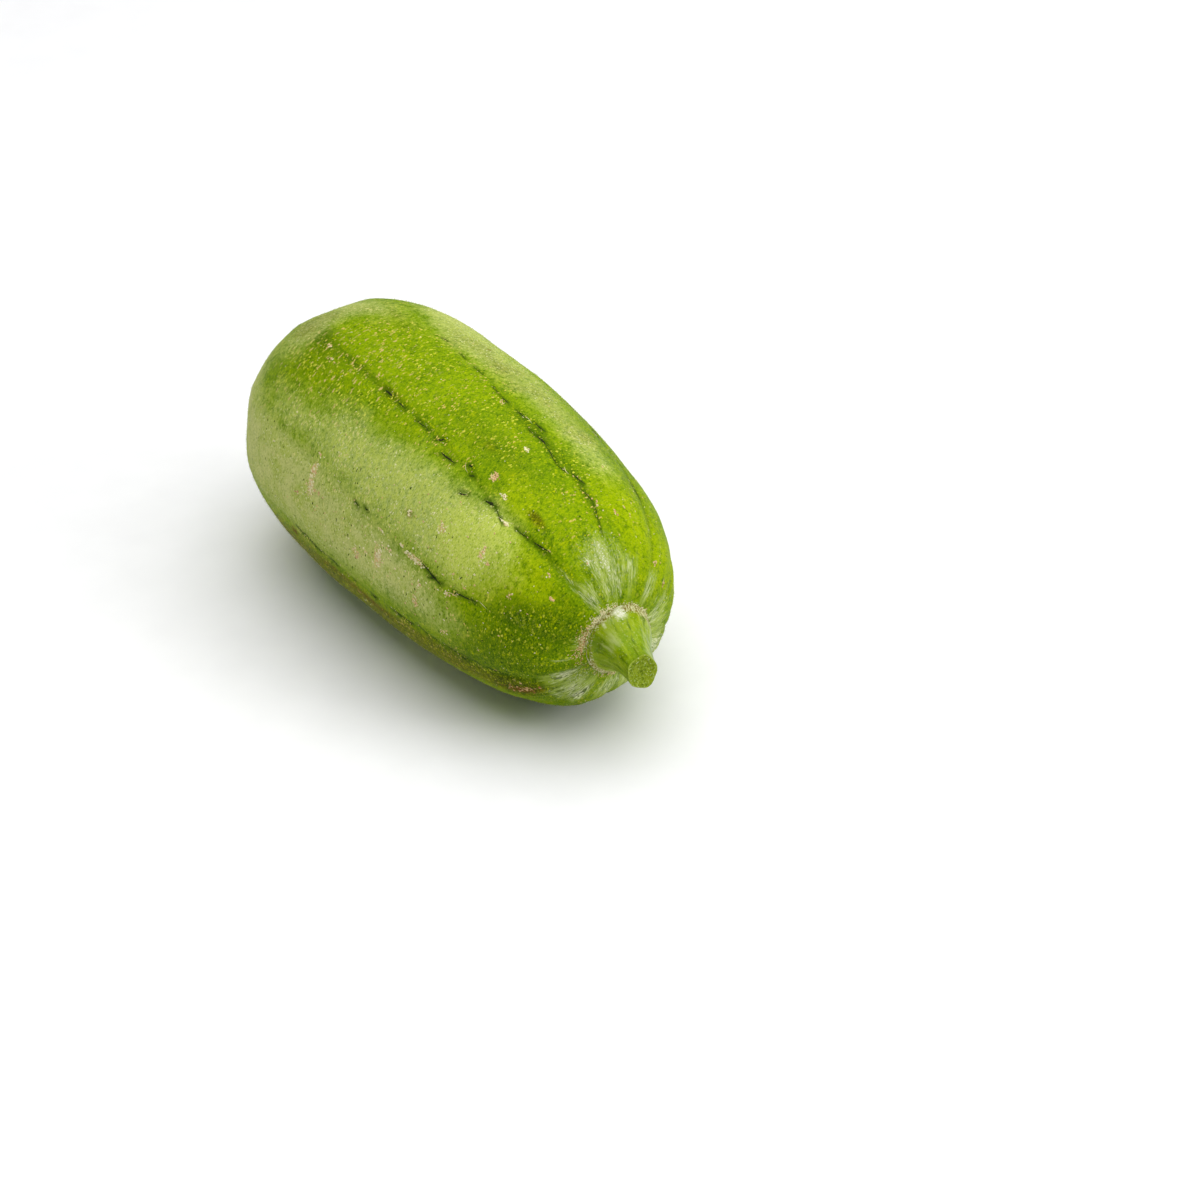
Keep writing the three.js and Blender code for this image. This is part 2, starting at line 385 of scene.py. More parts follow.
# %% Relief shared with the solid
def relief(along, angle):
    """How far the skin stands off the plain outline."""
    share, width = share_of_lobe(along, angle)
    gap = np.minimum(share, 1 - share) * np.radians(width) * np.maximum(outline_radius(along), 1)
    swing = np.pi * share
    cornered = bell(along - CORNER_PLACE, CORNER_SPREAD)
    furrow = MIDDLE_FURROW_DEPTH + END_FURROW_DEPTH * bell(along - FURROW_PLACE, FURROW_SPREAD)
    height = CORNER_HEIGHT * cornered * (1 - 2 * np.sin(swing))
    crease = CREASE_DEPTH * bell(gap, CREASE_SPREAD)
    height -= (1 - cornered) * (furrow * np.abs(np.cos(swing)) ** FURROW_NARROWNESS + crease)
    pucker = PUCKER_HEIGHT * smooth_step(along, PUCKER_START, STEM_REACH)
    height -= pucker * np.cos(2 * PUCKERS_PER_LOBE * swing)
    for dent_along, dent_angle, reach, depth in DENTS:
        height -= depth * mark(along, angle, (dent_along, dent_angle), (reach, reach))
    return height


furrowed = relief(np.full(360, float(FURROW_PLACE)), np.arange(360.0))
print(f"near the stalk the skin lies {furrowed.min():.2f} to {furrowed.max():.2f} mm off the outline")

# %% [markdown]
# ## Finer forms
# Close to the stalk the skin is drawn in and wrinkles like gathered cloth, and a rough corky collar
# grows where it meets the stalk. These are real forms, so they are in the mesh and not only in a bump
# texture. A few sine waves of unlike lengths that don't repeat together look grown.

# %% Wrinkles and the collar
WRINKLE_HEIGHT = 0.1
WRINKLE_START = 74
COLLAR_HEIGHT = 0.3
COLLAR_SPREAD = 1.0
BUMP_HEIGHT = 0.07


def fine_relief(along, angle, to_stalk):
    """Wrinkles round the stalk, the collar at its foot, and low uneven swellings everywhere."""
    turn = np.radians(angle)
    drawn = smooth_step(along, WRINKLE_START, STEM_REACH)
    wrinkles = np.sin(71 * turn + 0.05 * along) * (0.6 + 0.4 * np.sin(5 * turn + 1.3))
    wrinkles += 0.8 * np.sin(113 * turn + 2.1 * np.sin(3 * turn)) * np.sin(0.09 * along + 4 * turn)
    height = WRINKLE_HEIGHT * drawn * wrinkles
    uneven = np.sin(9 * turn + 0.13 * along) * np.sin(0.21 * along + 3 * turn)
    uneven += np.sin(17 * turn - 0.31 * along + 1.7) * np.sin(0.11 * along - 6 * turn)
    height += BUMP_HEIGHT * uneven * smooth_step(to_stalk, 4, 20)
    lumps = 0.75 + 0.25 * np.sin(29 * turn + 1.1) * np.sin(13 * turn) + 0.2 * np.sin(53 * turn + 0.4)
    height += COLLAR_HEIGHT * lumps * bell(to_stalk - COLLAR_SPREAD, COLLAR_SPREAD)
    return height


print(f"the collar stands about {COLLAR_HEIGHT} mm high and {2 * COLLAR_SPREAD:.0f} mm wide")

# %% [markdown]
# ## From rings to meshes
# Fruit, stalk, flower, cracks and crumbs are all closed bodies made of rings of points, with a fan of
# triangles over each end. They could be sculpted, but rings from formulas let the skin, the cracks and the
# hairs agree on where the surface is. A mesh can also carry a number or a place on each of its points,
# which a material reads by name. That is how the paint on the rind finds the seams and the stalk.

# %% Closed bodies
def ring_body(rings):
    """Points and faces of a closed body from rings of points, each end a fan round its middle."""
    count, sides = rings.shape[:2]
    index = np.arange(count * sides).reshape(count, sides)
    beside = np.roll(index, -1, axis=1)
    faces = np.stack([index[:-1], beside[:-1], beside[1:], index[1:]], axis=-1).reshape(-1, 4).tolist()
    faces += [(count * sides, b, a) for a, b in zip(index[0].tolist(), beside[0].tolist())]
    faces += [(count * sides + 1, a, b) for a, b in zip(index[-1].tolist(), beside[-1].tolist())]
    return np.concatenate([rings.reshape(-1, 3), rings[[0, -1]].mean(axis=1)]), faces


def mesh_of(name, bodies):
    """One mesh from many small bodies, in mm."""
    points, faces, start = [], [], 0
    for body_points, body_faces in bodies:
        points.append(body_points)
        faces += [tuple(start + corner for corner in face) for face in body_faces]
        start += len(body_points)
    mesh = bpy.data.meshes.new(name)
    mesh.from_pydata((np.concatenate(points) * MM).tolist(), [], faces)
    mesh.polygons.foreach_set("use_smooth", [True] * len(mesh.polygons))
    return mesh


# %% Stored weights, and pieces
def store(mesh, name, values):
    """Stores a number, or a place of three, for each point of the rings, for a material to read by name."""
    kind, field, width = ("FLOAT_VECTOR", "vector", 3) if values.ndim == 3 else ("FLOAT", "value", 1)
    ends = values[[0, -1]].mean(axis=1)
    numbers = np.concatenate([values.reshape(-1, width), ends.reshape(-1, width)])
    layer = mesh.attributes.new(name, kind, "POINT")
    layer.data.foreach_set(field, numbers.astype(np.float32).reshape(-1))


def make_piece(name, mesh, material, node=None):
    """A piece that rides on the gourd, takes its finish from a slot and may stand for a solid."""
    mesh.materials.append(material)
    piece = bpy.data.objects.new(name, mesh)
    scene.collection.objects.link(piece)
    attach(piece, "root")
    if node:
        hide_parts(node)
    triangles = sum(len(face.vertices) - 2 for face in mesh.polygons)
    print(f"{name}: {triangles} triangles")


# %% Places on the rind
# Columns of points follow the seams, so that each crease falls on one.
RIND_STATIONS = 262
SIDES_PER_LOBE = 36
OFF_SEAM = 1e-6  # so that each column knows on which side of a seam it lies

station_along, station_radius, walked = outline_stations(RIND_STATIONS)
columns = len(SEAM_ANGLES) * SIDES_PER_LOBE
along = np.repeat(station_along[:, None], columns, axis=1)
lobes = np.repeat(np.arange(len(SEAM_ANGLES)), SIDES_PER_LOBE)
shares = np.tile(np.arange(SIDES_PER_LOBE) / SIDES_PER_LOBE, len(SEAM_ANGLES))
next_seams = (lobes + 1) % len(SEAM_ANGLES)
near_angle = np.stack([seam_angle(seam, station_along) for seam in lobes], axis=1)
far_angle = np.stack([seam_angle(seam, station_along) for seam in next_seams], axis=1)
far_angle += 360 * (next_seams == 0)
angle = near_angle + (far_angle - near_angle) * (shares + OFF_SEAM)
to_stalk = np.repeat((walked[-1] - walked)[:, None], columns, axis=1)
to_tip = np.repeat(walked[:, None], columns, axis=1)
print(f"the rind has {RIND_STATIONS} rings, {walked[1]:.2f} mm apart, of {columns} points each")


# %% The rind, laid on its flat spot
def standing(along, angle, radius):
    """Points on the bent axis's frame, in mm, before the fruit is laid down."""
    turn = np.radians(angle)
    return np.stack([along, radius * np.cos(turn), radius * np.sin(turn) - sag(along)], axis=-1)


on_seat = np.zeros_like(along)
on_seat[[0, -1]] = 1
height = (relief(along, angle) + fine_relief(along, angle, to_stalk)) * (1 - on_seat)
rings = standing(along, angle, station_radius[:, None] + height)
floor_level = rings[..., 2].min() + REST_DEPTH
shift = np.array([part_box("fruit")[0][0] / MM - station_along[0], 0.0, -floor_level])


def laid(points):
    """Points in the frame of the solids: the fruit lies on its flattened spot, at height 0."""
    resting = points.copy()
    resting[..., 2] = np.maximum(resting[..., 2], floor_level)
    return resting + shift


def skin_place(along, angle, lift=0.0):
    """A point of the finished skin, or a little above it."""
    to_stalk = np.interp(along, station_along, walked[-1] - walked)
    height = relief(along, angle) + fine_relief(along, angle, to_stalk)
    return laid(standing(along, angle, outline_radius(along) + height + lift))


rind_mesh = mesh_of("rind", [ring_body(laid(rings))])
print(f"the fruit is {np.ptp(rings[..., 0]):.1f} mm long and lies {-floor_level:.2f} mm under its axis")

# %% [markdown]
# ## Where each colour goes
# No luffa is one green. A thin wax bloom dulls some lobes, the seams are dark, flecks crowd on the sunny side
# and pale streaks run out from the stalk. Some light and shade are painted in too: sheen in the bloom, a
# highlight above the stalk, and shade on the underside in the deep greens and the olive. Each of these gets a
# soft weight on the rind's points, made from rounded marks at a place along and an angle, the way a painter
# blocks in a colour before the detail. The shader then breaks the soft edges up with noise.

# %% Marks for wax and for greens, with painted sheen and painted shade
# Marks are (along, angle, spread along, spread across, strength), in mm and degrees.
RIND_MARKS = {
    # Pale wax bloom, and painted sheen on the lobes that catch the lights.
    "bloom": [
        (65, 142, 23, 12, 1.35), (83, 130, 8, 9, 0.7), (78, 154, 8, 6, 0.4), (77, 61, 9, 6, 0.4),
        (28, 143, 24, 11, 0.9), (-8, 147, 20, 9, 0.5), (-8, 90, 22, 8, 0.15), (14, 60, 34, 11, 0.8),
        (60, 64, 24, 8, 0.7), (45, 245, 34, 12, 1.0), (5, 250, 20, 9, 0.5), (20, 312, 40, 12, 1.0),
        (72, 318, 20, 8, 0.5), (30, 20, 34, 10, 0.9),
    ],
    # Greyer wax bloom, and painted sheen along the fruit's edges and ends.
    "grey_bloom_and_sheen": [
        (14, 176, 46, 12, 1.2), (57, 174, 18, 9, 0.7), (77, 181, 8, 7, 0.35), (20, 66, 28, 9, 0.8),
        (-20, 168, 18, 12, 0.8), (-40, 152, 13, 20, 1.0), (-40, 84, 12, 16, 0.6), (-18, 86, 16, 7, 0.6),
        (-23, 110, 9, 13, 0.8), (10, 159, 30, 5, 0.5), (-4, 54, 20, 8, 0.8), (-32, 235, 20, 25, 0.8),
        (-34, 330, 18, 25, 0.8), (30, 280, 50, 9, 0.7),
    ],
    # Darker skin on seams and lobes, and painted shade on the underside and under the stalk.
    "deep_green_and_shade": [
        (-13, 114, 7, 5, 0.6), (5, 94, 12, 16, 0.4), (60, 86, 10, 5, 0.35), (71, 98, 10, 6, 0.35),
        (99, 158, 6, 8, 0.5), (-6, 124, 18, 8, 0.5), (55, 104, 16, 7, 0.35), (77, 203, 14, 6, 0.6),
        (8, 114.5, 18, 1.8, 0.7), (-25, 110, 14, 5, 0.7), (102, 168, 9, 14, 0.8),
        (107, 146, 5, 16, 0.8), (106, 222, 5, 16, 0.9), (98, 209, 9, 10, 1.3), (90, 178, 12, 10, 0.5),
        (92, 196, 18, 9, 0.9), (66, 82, 16, 2.4, 0.9), (88, 81, 10, 2.6, 0.7), (68, 104, 18, 6, 0.3),
        (52, 161, 12, 1.6, 0.4), (58, 119, 14, 1.4, 0.45), (92, 120, 10, 2.2, 0.7),
        (86, 44, 16, 3.0, 0.7), (98, 262, 12, 26, 0.9), (10, 228, 40, 3, 0.7), (60, 266, 30, 3, 0.7),
        (20, 296, 45, 3, 0.7), (98, 330, 10, 12, 0.7), (40, 1, 50, 3, 0.6), (40, 38, 40, 2.5, 0.5),
    ],
    "yellow_green": [
        (76, 140, 12, 11, 0.9), (86, 126, 8, 6, 0.6), (83, 112.5, 6, 4, 0.8), (80, 156, 9, 6, 0.5),
        (94, 64, 15, 11, 0.95), (102, 34, 8, 18, 1.0), (97, 138, 9, 10, 1.3), (86, 154, 7, 6, 0.6),
        (78, 104, 16, 7, 0.6), (84, 240, 14, 12, 0.8), (80, 300, 14, 10, 0.8), (90, 0, 16, 12, 0.8),
    ],
    # Olive-brown skin, and painted shade on the underside and at one upper edge near the flower.
    "olive": [
        (16, 208, 50, 8, 1.1), (66, 209, 24, 7, 1.0), (97, 212, 10, 8, 0.7), (30, 66, 34, 9, 0.42),
        (66, 60, 16, 8, 0.3), (89, 111.5, 3.0, 2.0, 1.1), (63, 104, 4, 2.2, 0.5),
        (57.5, 147, 2.2, 1.6, 0.7), (-25, 107, 9, 12, 0.55), (-6, 86, 14, 7, 0.35),
        (24, 115, 7, 1.8, 0.7),
    ],
}

# %% Marks for flecks and rust
RIND_MARKS |= {
    "russet": [
        (98, 213, 5, 3.4, 1.0), (4, 197, 3.0, 2.0, 0.9), (24, 200, 16, 2.0, 0.7),
        (45, 203, 12, 2.0, 0.7), (21, 62, 1.2, 1.2, 0.9), (30, 340, 6, 4, 0.6), (-22, 262, 5, 6, 0.6),
        (52, 290, 5, 2, 0.8),
    ],
    "freckled": [
        (25, 98, 60, 15, 1.0), (-4, 128, 28, 11, 1.0), (24, 142, 26, 18, 0.5), (80, 170, 26, 20, 0.25),
        (50, 166, 50, 10, 0.6), (85, 66, 22, 14, 0.3), (50, 205, 40, 9, 0.6), (-10, 240, 34, 34, 0.8),
        (60, 268, 40, 20, 0.8), (20, 340, 60, 18, 0.9), (-10, 30, 30, 20, 0.5),
    ],
    "tan_freckled": [
        (-2, 128, 24, 10, 1.2), (8, 112, 22, 8, 0.7), (14, 95, 30, 10, 0.5), (-15, 150, 12, 10, 0.4),
        (50, 204, 50, 8, 0.8), (95, 140, 10, 22, 0.3), (92, 60, 14, 12, 0.4), (-8, 345, 24, 12, 1.0),
        (-12, 250, 24, 14, 1.0),
    ],
    "dotted": [
        (25, 172, 55, 18, 1.0), (50, 142, 30, 10, 0.3), (78, 182, 20, 12, 0.8), (30, 245, 40, 14, 0.8),
        (20, 312, 50, 12, 0.8),
    ],
}

# %% Marks round the stalk
# Here the first number is the distance from the stalk over the skin, in mm.
STALK_END_MARKS = {
    "streaked": [
        (10, 91, 8, 12, 0.8), (9, 68, 6, 4, 0.7), (7, 117, 4.5, 4, 1.1), (14, 121, 6, 1.5, 0.6),
        (7, 43, 5, 4.5, 0.75), (3, -5, 6, 22, 0.75), (7, 12, 5, 6, 0.4), (3.5, 165, 2.5, 6, 0.5),
        (7, 184, 3, 1.2, 0.7), (9, 203, 5.5, 4, 1.15), (9, 222, 6, 8, 1.05), (10, 238, 6, 4, 1.1),
        (6, 262, 6, 10, 0.8), (7, 290, 7, 12, 0.8), (7, 325, 7, 10, 0.8),
    ],
    # Silvery wax on some streaks, and a painted highlight with white glints on top, beside the stalk.
    "silvered_and_highlight": [
        (16.5, 92, 5.5, 11, 0.7), (12, 91, 3.5, 2, 0.8), (15.5, 103, 1.2, 1.4, 1.0),
        (10, 99, 4, 1.5, 0.5), (18.3, 91, 0.8, 0.8, 0.9), (7, 118, 3, 3, 0.5), (5, 218, 5, 14, 0.6),
        (8, 229, 1.5, 2, 0.5), (9, 300, 5, 10, 0.5),
    ],
    "corky": [
        (0.3, 126, 1.6, 13, 1.2), (1.7, 165, 1.8, 13, 1.0), (0.2, 90, 0.9, 9, 0.6),
        (0.2, 45, 0.7, 26, 0.7), (0.2, 0, 0.7, 20, 0.7), (0.2, 222, 0.6, 10, 0.4),
        (0.2, 268, 1.1, 20, 0.9), (0.2, 320, 1.3, 20, 1.0),
    ],
}

# %% Weights on the rind
for distance, marks in ((along, RIND_MARKS), (to_stalk, STALK_END_MARKS)):
    for name, places in marks.items():
        total = sum(
            strength * mark(distance, angle, (place, way), (spread_along, spread_across))
            for place, way, spread_along, spread_across, strength in places
        )
        store(rind_mesh, name, np.clip(total, 0, 2))
        print(f"{name}: strong on {np.mean(total > 0.5):.1%} of the rind's points")

# %% Distances on the rind
share, lobe_width = share_of_lobe(along, angle)
gap = np.minimum(share, 1 - share) * np.radians(lobe_width) * station_radius[:, None]
store(rind_mesh, "seam_gap", gap)
store(rind_mesh, "to_tip", to_tip)
# The streaks run lengthwise on an unrolled tube that turns with the seams.
turn = np.radians(angle - SEAM_TWIST * along)
lengthwise = np.stack([FRUIT_RADIUS * np.cos(turn), FRUIT_RADIUS * np.sin(turn), to_stalk], axis=-1)
store(rind_mesh, "lengthwise", lengthwise)
print(f"a lobe's middle is up to {gap.max():.1f} mm from its seams")

# %% [markdown]
# ## Cracks and scabs
# As the fruit swells, its skin splits a little along the seams, and each split heals to a thin black-green
# scab with pale corky crumbs beside it. Insects and rubbing leaves leave tan scabs elsewhere. Each crack is
# a small body sunk in the skin, because a line this sharp would blur in a texture.

# %% Strokes along the seams
# Each stroke is (seam, from, to, offset at its start, offset at its end, half width), in mm along and across.
STROKES = [
    (3, 22, 26, -0.4, 0.0, 0.65), (3, 29, 33, 0.4, 0.6, 0.45), (3, 39, 45.5, 0.6, 0.4, 0.33),
    (3, 49, 52, 0.7, -1.3, 0.59), (3, 54, 59.5, 2.3, 1.1, 0.45), (3, 63.5, 65, -2.0, -2.1, 0.45),
    (3, 66, 67.5, 0.0, -1.0, 0.39), (3, 67.5, 70, 5.4, 4.0, 0.39), (3, 75.3, 78.3, 1.0, 0.2, 0.8),
    (3, 79, 83.5, 0.5, 2.1, 0.2), (3, 87, 91, 0.1, -0.4, 0.26), (3, 92.5, 97, -0.8, -2.0, 0.33),
    (2, 12, 15, 1.4, 0.8, 0.1), (2, 22, 26, 0.5, 0.7, 0.12), (2, 31, 35, 0.7, 0.3, 0.2),
    (2, 42, 46, 1.1, 1.9, 0.15), (2, 47.5, 51, 1.9, 2.2, 0.3), (2, 55, 58.5, 1.7, 1.2, 0.3),
    (2, 61, 65.5, -0.3, -0.8, 0.4), (2, 63, 66, 3.5, 3.0, 0.2), (2, 66.5, 70.5, 2.9, 2.3, 0.6),
    (2, 71.5, 77.7, 2.9, 3.1, 0.3), (2, 78, 81, 3.4, 2.2, 0.25), (2, 81.5, 86, 0.2, -1.6, 0.35),
    (2, 87, 92, 0.2, -1.7, 0.2), (2, 92, 99, -1.5, 0.0, 0.15), (4, 41, 42.5, -2.8, -2.8, 0.39),
    (4, 36.5, 38, -1.6, -1.4, 0.33), (4, 67.7, 75.5, -1.2, 1.0, 0.52), (4, 71, 73.5, 1.2, 0.2, 0.26),
    (4, 80, 87.5, 0.7, -0.8, 0.39), (1, 40, 47, 0.4, -0.3, 0.2), (1, 58, 64, -0.4, 0.5, 0.25),
    (1, 80, 88, 0.3, -0.2, 0.2),
]
print(f"{len(STROKES)} cracks placed by hand, the longest {max(s[2] - s[1] for s in STROKES):.1f} mm long")

# %% Cracks on the other seams, by chance
OTHER_SEAMS = (5, 6, 7, 8, 9, 0)
CRACK_SEED = 11
FIRST_CRACK = (5, 20)
LAST_CRACK = 90
CRACK_LENGTH = (1, 7)
CRACK_OFFSET = 0.8
CRACK_HALF_WIDTH = (0.12, 0.42)
CRACK_GAPS = [-0.5, 0.6, 2.5, 8]
GAP_CHANCES = [0.25, 0.3, 0.3, 0.15]

rng = np.random.default_rng(CRACK_SEED)
for seam in OTHER_SEAMS:
    here = rng.uniform(*FIRST_CRACK)
    while here < LAST_CRACK:
        length = rng.uniform(*CRACK_LENGTH) * rng.choice([0.5, 1])
        start, end = rng.normal(0, CRACK_OFFSET, 2)
        STROKES.append((seam, here, here + length, start, end, rng.uniform(*CRACK_HALF_WIDTH)))
        here += length + rng.choice(CRACK_GAPS, p=GAP_CHANCES)
print(f"{len(STROKES)} cracks in all")

# %% Bodies of the cracks
STROKE_STEP = 0.45
STROKE_TOP = 0.06
STROKE_EDGE = -0.04
STROKE_ROOT = -0.35


def stroke_line(stroke, count, kink=0.15):
    """Places down the middle of a stroke, as along and angle, on its kinked way."""
    seam, start, end, start_offset, end_offset, _ = stroke
    t = np.linspace(0, 1, count)
    places = start + (end - start) * t
    offset = start_offset + (end_offset - start_offset) * t
    knots = rng.normal(0, kink, max(3, count // 3))
    offset += np.interp(t, np.linspace(0, 1, len(knots)), knots)
    return places, seam_angle(seam, places) + np.degrees(offset / outline_radius(places))


def stroke_body(stroke, kink=0.15):
    """A thin scab along a stroke, with ragged edges and pointed ends."""
    count = max(5, int((stroke[2] - stroke[1]) / STROKE_STEP))
    places, angles = stroke_line(stroke, count, kink)
    thin = np.sin(np.pi * np.linspace(0.03, 0.97, count)) ** 0.6
    half = stroke[5] * thin[:, None] * rng.uniform(0.7, 1.15, (count, 2))
    degree = np.degrees(1 / outline_radius(places))
    ring = [
        skin_place(places, angles - half[:, 0] * degree, STROKE_EDGE),
        skin_place(places, angles, STROKE_ROOT),
        skin_place(places, angles + half[:, 1] * degree, STROKE_EDGE),
        skin_place(places, angles, STROKE_TOP * thin),
    ]
    return ring_body(np.stack(ring, axis=1))


cracks = [stroke_body(stroke) for stroke in STROKES]
crack_mesh = mesh_of("seam_cracks", cracks)
# A weight that is 1 on a crack's edges and ends and 0 down its middle.
edge = np.concatenate([[1, 0, 1, 0] * ((len(points) - 2) // 4) + [1, 1] for points, _ in cracks])
crack_mesh.attributes.new("edge", "FLOAT", "POINT").data.foreach_set("value", edge.astype(np.float32))
print(f"the cracks stand {STROKE_TOP} mm proud and go {-STROKE_ROOT} mm deep")

# %% Skin stained round the cracks
STAIN_REACH = 1.0
STAIN_WIDENING = 1.5  # for each mm of a crack's half width

stain = np.zeros_like(along)
for seam, start, end, start_offset, end_offset, half in STROKES:
    nearest = np.clip(along, start, end)
    offset = start_offset + (end_offset - start_offset) * (nearest - start) / (end - start)
    across = np.radians(turned_from(angle, seam_angle(seam, along))) * FRUIT_RADIUS - offset
    stain = np.maximum(stain, bell(np.hypot(along - nearest, across), STAIN_REACH + STAIN_WIDENING * half))
store(rind_mesh, "crack_stain", stain)
print(f"the stain covers {np.mean(stain > 0.5):.1%} of the rind's points")

# %% [markdown]
# ## Crumbs of cork
# Where its skin was hurt a fruit grows cork, which dries and flakes into pale crumbs. They could be painted,
# but painted crumbs would cast no shadows. Each is a small flake here, and they are thrown on their patches
# as grit falls, thick in the middle and thin at the edge. Tan floors under the larger patches, which are
# only colour, join them up.

# %% Patches of cork
# Each patch is (along, angle, spread along, spread across, crumbs, tone).
# Tone 0 is pale, 1 is pink-tan and 1.5 is brown.
CORK_PATCHES = [
    (16, 166, 1.3, 2.4, 60, 0.45), (15.5, 159, 1.2, 2.2, 50, 0.55), (16, 152, 1.0, 0.7, 8, 0.7),
    (19.5, 166, 1.8, 0.8, 8, 0.9), (9.7, 173, 1.2, 0.7, 9, 0.9), (50.5, 172, 1.4, 3.4, 80, 0.5),
    (55, 166, 1.4, 0.9, 10, 0.5), (40.5, 178, 1.8, 1.6, 18, 0.6), (44.5, 174, 2.4, 0.5, 10, 0.5),
    (64.5, 162, 3.2, 0.9, 56, 0.4), (58, 160, 1.6, 0.6, 8, 0.3), (49.5, 161, 1.4, 0.5, 8, 0.5),
    (67, 179.5, 0.9, 2.0, 20, 0.8), (68, 171, 0.8, 1.4, 8, 0.7), (78, 167, 0.9, 0.7, 9, 0.5),
    (77.5, 187, 1.2, 0.8, 9, 0.7), (69.4, 143, 1.2, 1.3, 18, 0.5), (65, 140.5, 0.8, 0.6, 6, 0.3),
    (84, 141, 0.8, 2.0, 18, 0.6), (86.5, 143, 1.2, 0.5, 6, 0.8), (57.5, 147, 0.8, 1.2, 8, 0.8),
    (71.9, 112, 1.1, 1.4, 24, 0.9), (78.5, 115, 1.1, 0.7, 18, 0.1), (70, 92.5, 1.0, 0.7, 14, 0.1),
    (50, 84.5, 1.2, 0.6, 10, 0.8), (84, 123.3, 1.3, 0.5, 12, 0.5), (92, 79, 1.2, 0.6, 8, 1.0),
    (95.6, 70.5, 0.7, 0.7, 8, 1.0), (103.8, 137, 0.5, 0.8, 6, 1.0), (95.4, 150, 0.6, 1.4, 9, 1.0),
    (100.6, 127.5, 0.4, 1.2, 6, 1.0), (104.6, 41, 0.5, 0.8, 8, 1.0), (106.5, 25, 0.5, 1.2, 8, 1.0),
    (98, 213, 4.2, 2.4, 50, 1.4), (-7.5, 114.5, 1.2, 0.8, 9, 0.8), (-3, 119, 1.5, 1.0, 8, 0.9),
    (30, 300, 4.0, 1.6, 44, 0.8), (5, 268, 1.4, 3.0, 30, 0.5), (70, 340, 3.0, 1.5, 26, 0.9),
    (-25, 20, 2.0, 2.5, 20, 0.6), (55, 12, 2.5, 1.2, 20, 0.7), (62, 258, 1.0, 3.0, 34, 0.8),
]
print(f"{len(CORK_PATCHES)} patches of cork")

# %% Crowds, clumps and threads of cork
LONE_CRUMBS = 900
LONE_CRUMB_ZONE = (-48, 106)
# Lobes that have more of them are (along, angle, spread along, spread of angle, crumbs).
CRUMB_CROWDS = [
    (50, 170, 28, 16, 150), (78, 140, 14, 14, 40), (96, 60, 8, 16, 20), (20, 255, 40, 20, 60),
    (30, 335, 40, 20, 60),
]
# Clumps round the stalk are (angle, spread of angle, crumbs, nearest to the stalk, reach from there, tone).
COLLAR_CLUMPS = [
    (118, 14, 260, 0.15, 1.1, 0.1), (95, 10, 30, 0.15, 0.4, 0.2), (150, 13, 120, 0.6, 1.6, 0.8),
    (172, 12, 150, 1.2, 1.8, 1.1), (196, 12, 22, 1.2, 1.4, 1.0), (225, 14, 8, 0.15, 0.8, 0.8),
    (45, 14, 60, 0.15, 0.25, 0.1), (8, 20, 50, 0.15, 0.3, 0.3), (270, 30, 90, 0.15, 1.0, 0.6),
    (322, 22, 50, 0.15, 0.7, 0.5),
]
# Where a split has healed without a scab it leaves a pale raised thread, listed like the strokes.
THREADS = [
    (3, 62, 65, -1.0, 0.4, 0.2), (3, 81, 85.5, 1.6, 0.5, 0.2), (4, 63, 67, -1.8, -1.4, 0.3),
    (4, 62, 66, -0.2, -1.2, 0.22), (4, 77, 82, 1.8, 1.2, 0.18), (4, 88, 91, -1.2, -0.6, 0.16),
    (2, 57, 61, 0.5, 1.6, 0.16), (2, 79, 82, 2.0, 1.0, 0.18), (7, 20, 24, 1.0, 0.4, 0.18),
    (8, 50, 54, -0.6, 0.6, 0.18), (0, 34, 38, 0.8, -0.2, 0.18),
]
THREAD_KINK = 0.35
print(f"{len(CRUMB_CROWDS)} crowds, {len(COLLAR_CLUMPS)} clumps round the stalk and {len(THREADS)} threads")

# %% Shape of a crumb
CRUMB_SIDES = 7
crumbs, tones = [], []


def crumb_body(place, angle_here, size, long_way):
    """A small irregular raised flake. long_way stretches it along the skin."""
    turn = 2 * np.pi * np.arange(CRUMB_SIDES) / CRUMB_SIDES + rng.uniform(0, 1)
    reach = size * rng.uniform(0.6, 1.25, CRUMB_SIDES)
    degree = math.degrees(1 / max(float(outline_radius(np.array(place))), 4))
    walk = float(np.interp(place, station_along, walked))
    rings = []
    for scale, lift in ((1.0, -0.06), (0.55, 0.05 + 0.1 * size)):
        places = np.interp(walk + scale * reach * np.sin(turn) * long_way, walked, station_along)
        angles = angle_here + scale * reach * np.cos(turn) * degree
        rings.append(skin_place(places, angles, lift))
    return ring_body(np.stack(rings))


# %% Crumbs on the patches and beside the cracks
PATCH_CRUMB_SIZE = (0.14, 0.5)
PATCH_THROW = 0.6  # as a share of the patch's spread
CRACK_CRUMB_SIZE = (0.08, 0.22)
CRACK_CRUMB_PLACES = 12

